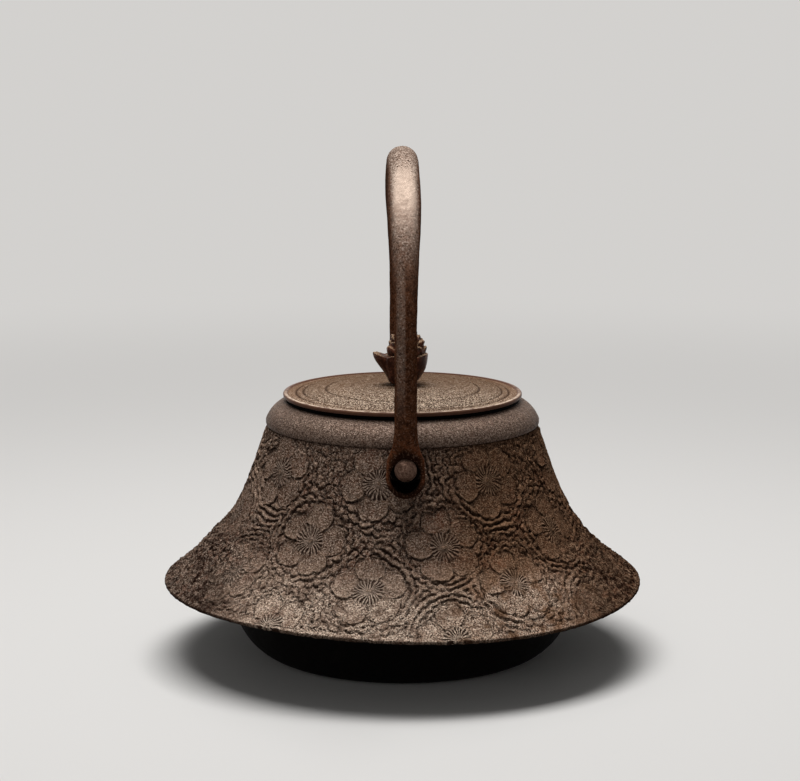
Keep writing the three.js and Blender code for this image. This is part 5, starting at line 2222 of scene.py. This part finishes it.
@dataclass(frozen=True)
class SmallPieces:
    """The washer under the lid and the three plates on the kettle's floor."""

    washer: str = "knob_washer"
    plates: tuple[str, ...] = ("singing_plate_1", "singing_plate_2", "singing_plate_3")

    def dress(self) -> None:
        """Give each its finish."""
        worn = ForgedIron("washer_iron", low=(0.05, 0.04, 0.035), face=(0.16, 0.12, 0.10),
                          rubbed_and_highlight=(0.2, 0.16, 0.13), speck=(0.22, 0.18, 0.15))
        scaled = ScaledIron("plate_iron", dark=(0.050, 0.040, 0.034), pale=(0.140, 0.110, 0.090))
        for name, finish in ((self.washer, worn.material()), *((plate, scaled.material()) for plate in self.plates)):
            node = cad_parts[name]
            node.data.materials.clear()
            node.data.materials.append(finish)
            log.info("%s keeps its packed shape", name)


# The room


@dataclass(frozen=True)
class Studio:
    """A plain pale floor, soft light and the photograph's camera."""

    pale: Colour = (0.65, 0.637, 0.62)
    floor_radius: float = 8.0
    lens: float = 121.65
    bearing: float = -1.0
    distance: float = 1.13378
    eye: float = 0.31485
    aside: float = -0.00106
    dip: float = 10.065
    dim: Colour = (0.19, 0.185, 0.18)
    key_place: tuple[float, float, float] = (-0.06, 0.08, 1.28)
    key_size: Point = (1.0, 0.6)
    key_watts: float = 19.0
    fill_place: tuple[float, float, float] = (-0.35, -1.5, 0.5)
    fill_size: Point = (0.9, 0.9)
    fill_watts: float = 2.7
    ambient: float = 0.088

    def camera(self) -> None:
        """Stand the camera where the photograph was taken from."""
        turned = math.radians(self.bearing)
        place = Vector((math.sin(turned) * self.distance, -math.cos(turned) * self.distance, self.eye))
        place += Vector((math.cos(turned), math.sin(turned), 0)) * self.aside
        tilt = (math.radians(90 - self.dip), 0, turned)
        bpy.ops.object.camera_add(location=place, rotation=tilt)
        camera = named("camera")
        camera.data.lens = self.lens
        camera.data.sensor_fit = "HORIZONTAL"
        camera.data.sensor_width = 36
        camera.data.clip_end = 60
        bpy.context.scene.camera = camera

    def lamp(self, name: str, place: Sequence[float], size: Point, watts: float) -> None:
        """Hang a rectangular lamp that faces the kettle.

        Args:
            name: The lamp's name.
            place: Where it hangs.
            size: Its width and its height.
            watts: Its power.
        """
        aim = Vector((0, 0, 0.08)) - Vector(place)
        bpy.ops.object.light_add(type="AREA", location=place, rotation=aim.to_track_quat("-Z", "Y").to_euler())
        lamp = named(name)
        lamp.data.shape = "RECTANGLE"
        lamp.data.size, lamp.data.size_y = size
        lamp.data.energy = watts

    def seen(self, tree: bpy.types.NodeTree) -> bpy.types.NodeSocket:
        """Tell what the camera, or a reflection, sees from what lights the scene."""
        path = tree.nodes.new("ShaderNodeLightPath")
        share = path.outputs["Is Camera Ray"]
        for other in ("Is Glossy Ray", "Is Transmission Ray"):
            larger = tree.nodes.new("ShaderNodeMath")
            larger.operation = "MAXIMUM"
            tree.links.new(share, larger.inputs[0])
            tree.links.new(path.outputs[other], larger.inputs[1])
            share = larger.outputs["Value"]
        return share

    def world(self) -> None:
        """Make the world pale to look at and dim as a light."""
        world = bpy.data.worlds.new("pale_world")
        world.use_nodes = True
        bpy.context.scene.world = world
        tree = world.node_tree
        light = tree.nodes["Background"]
        light.inputs["Color"].default_value = (1, 1, 1, 1)
        light.inputs["Strength"].default_value = self.ambient
        view = tree.nodes.new("ShaderNodeBackground")
        view.inputs["Color"].default_value = (*self.pale, 1)
        mixer = tree.nodes.new("ShaderNodeMixShader")
        tree.links.new(self.seen(tree), mixer.inputs["Fac"])
        tree.links.new(light.outputs["Background"], mixer.inputs[1])
        tree.links.new(view.outputs["Background"], mixer.inputs[2])
        tree.links.new(mixer.outputs["Shader"], tree.nodes["World Output"].inputs["Surface"])

    def floor(self) -> None:
        """Lay a large pale disc that fades into the background far from the kettle."""
        bpy.ops.mesh.primitive_circle_add(vertices=128, radius=self.floor_radius, fill_type="NGON", location=(0, 0, -0.0002))
        disc = named("floor")
        bpy.ops.object.transform_apply(location=True, rotation=True, scale=True)
        surface = Surface("pale_floor")
        tree = surface.tree
        colour = surface.mix(self.seen(tree), self.dim, self.pale)
        surface.finish(colour, 0.8, 0.0, surface.bump(surface.noise(4 * MM), 0.01 * MM))
        far = tree.nodes.new("ShaderNodeEmission")
        far.inputs["Color"].default_value = (*self.pale, 1)
        length = surface.node("ShaderNodeVectorMath")
        length.operation = "LENGTH"
        surface.feed(length.inputs[0], surface.place)
        share = surface.combine("MULTIPLY", surface.ramp(length.outputs["Value"], 0.3, 1.1), self.seen(tree))
        mixer = tree.nodes.new("ShaderNodeMixShader")
        tree.links.new(share, mixer.inputs["Fac"])
        tree.links.new(surface.shader.outputs["BSDF"], mixer.inputs[1])
        tree.links.new(far.outputs["Emission"], mixer.inputs[2])
        tree.links.new(mixer.outputs["Shader"], tree.nodes["Material Output"].inputs["Surface"])
        disc.data.materials.append(surface.material)

    def build(self) -> None:
        """Set up the floor, the light and the camera."""
        self.floor()
        self.world()
        self.lamp("key", self.key_place, self.key_size, self.key_watts)
        self.lamp("fill", self.fill_place, self.fill_size, self.fill_watts)
        self.camera()
        bpy.context.scene.view_settings.view_transform = "Standard"


def main() -> None:
    """Build the kettle piece by piece, then the room round it."""
    logging.basicConfig(level=logging.INFO, format="%(message)s")
    body = KettleBody()
    body.dress(body.build())
    pin_finish = ForgedIron(
        "pin_iron",
        low=(0.044, 0.021, 0.013),
        face=(0.160, 0.095, 0.070),
        rubbed_and_highlight=(0.160, 0.120, 0.095),
        speck=(0.220, 0.140, 0.100),
        roughness=0.38,
        specular=0.12,
        metallic=0.35,
    ).material()
    for side, node in ((Side.REAR, "lug_rear"), (Side.SPOUT, "lug_spout_side")):
        lug = Lug(side, node)
        lug.dress(lug.build(), pin_finish)
    for part in (Handle(), Lid(), Knob()):
        part.dress(part.build())
    SmallPieces().dress()
    Studio().build()


if __name__ == "__main__":
    main()
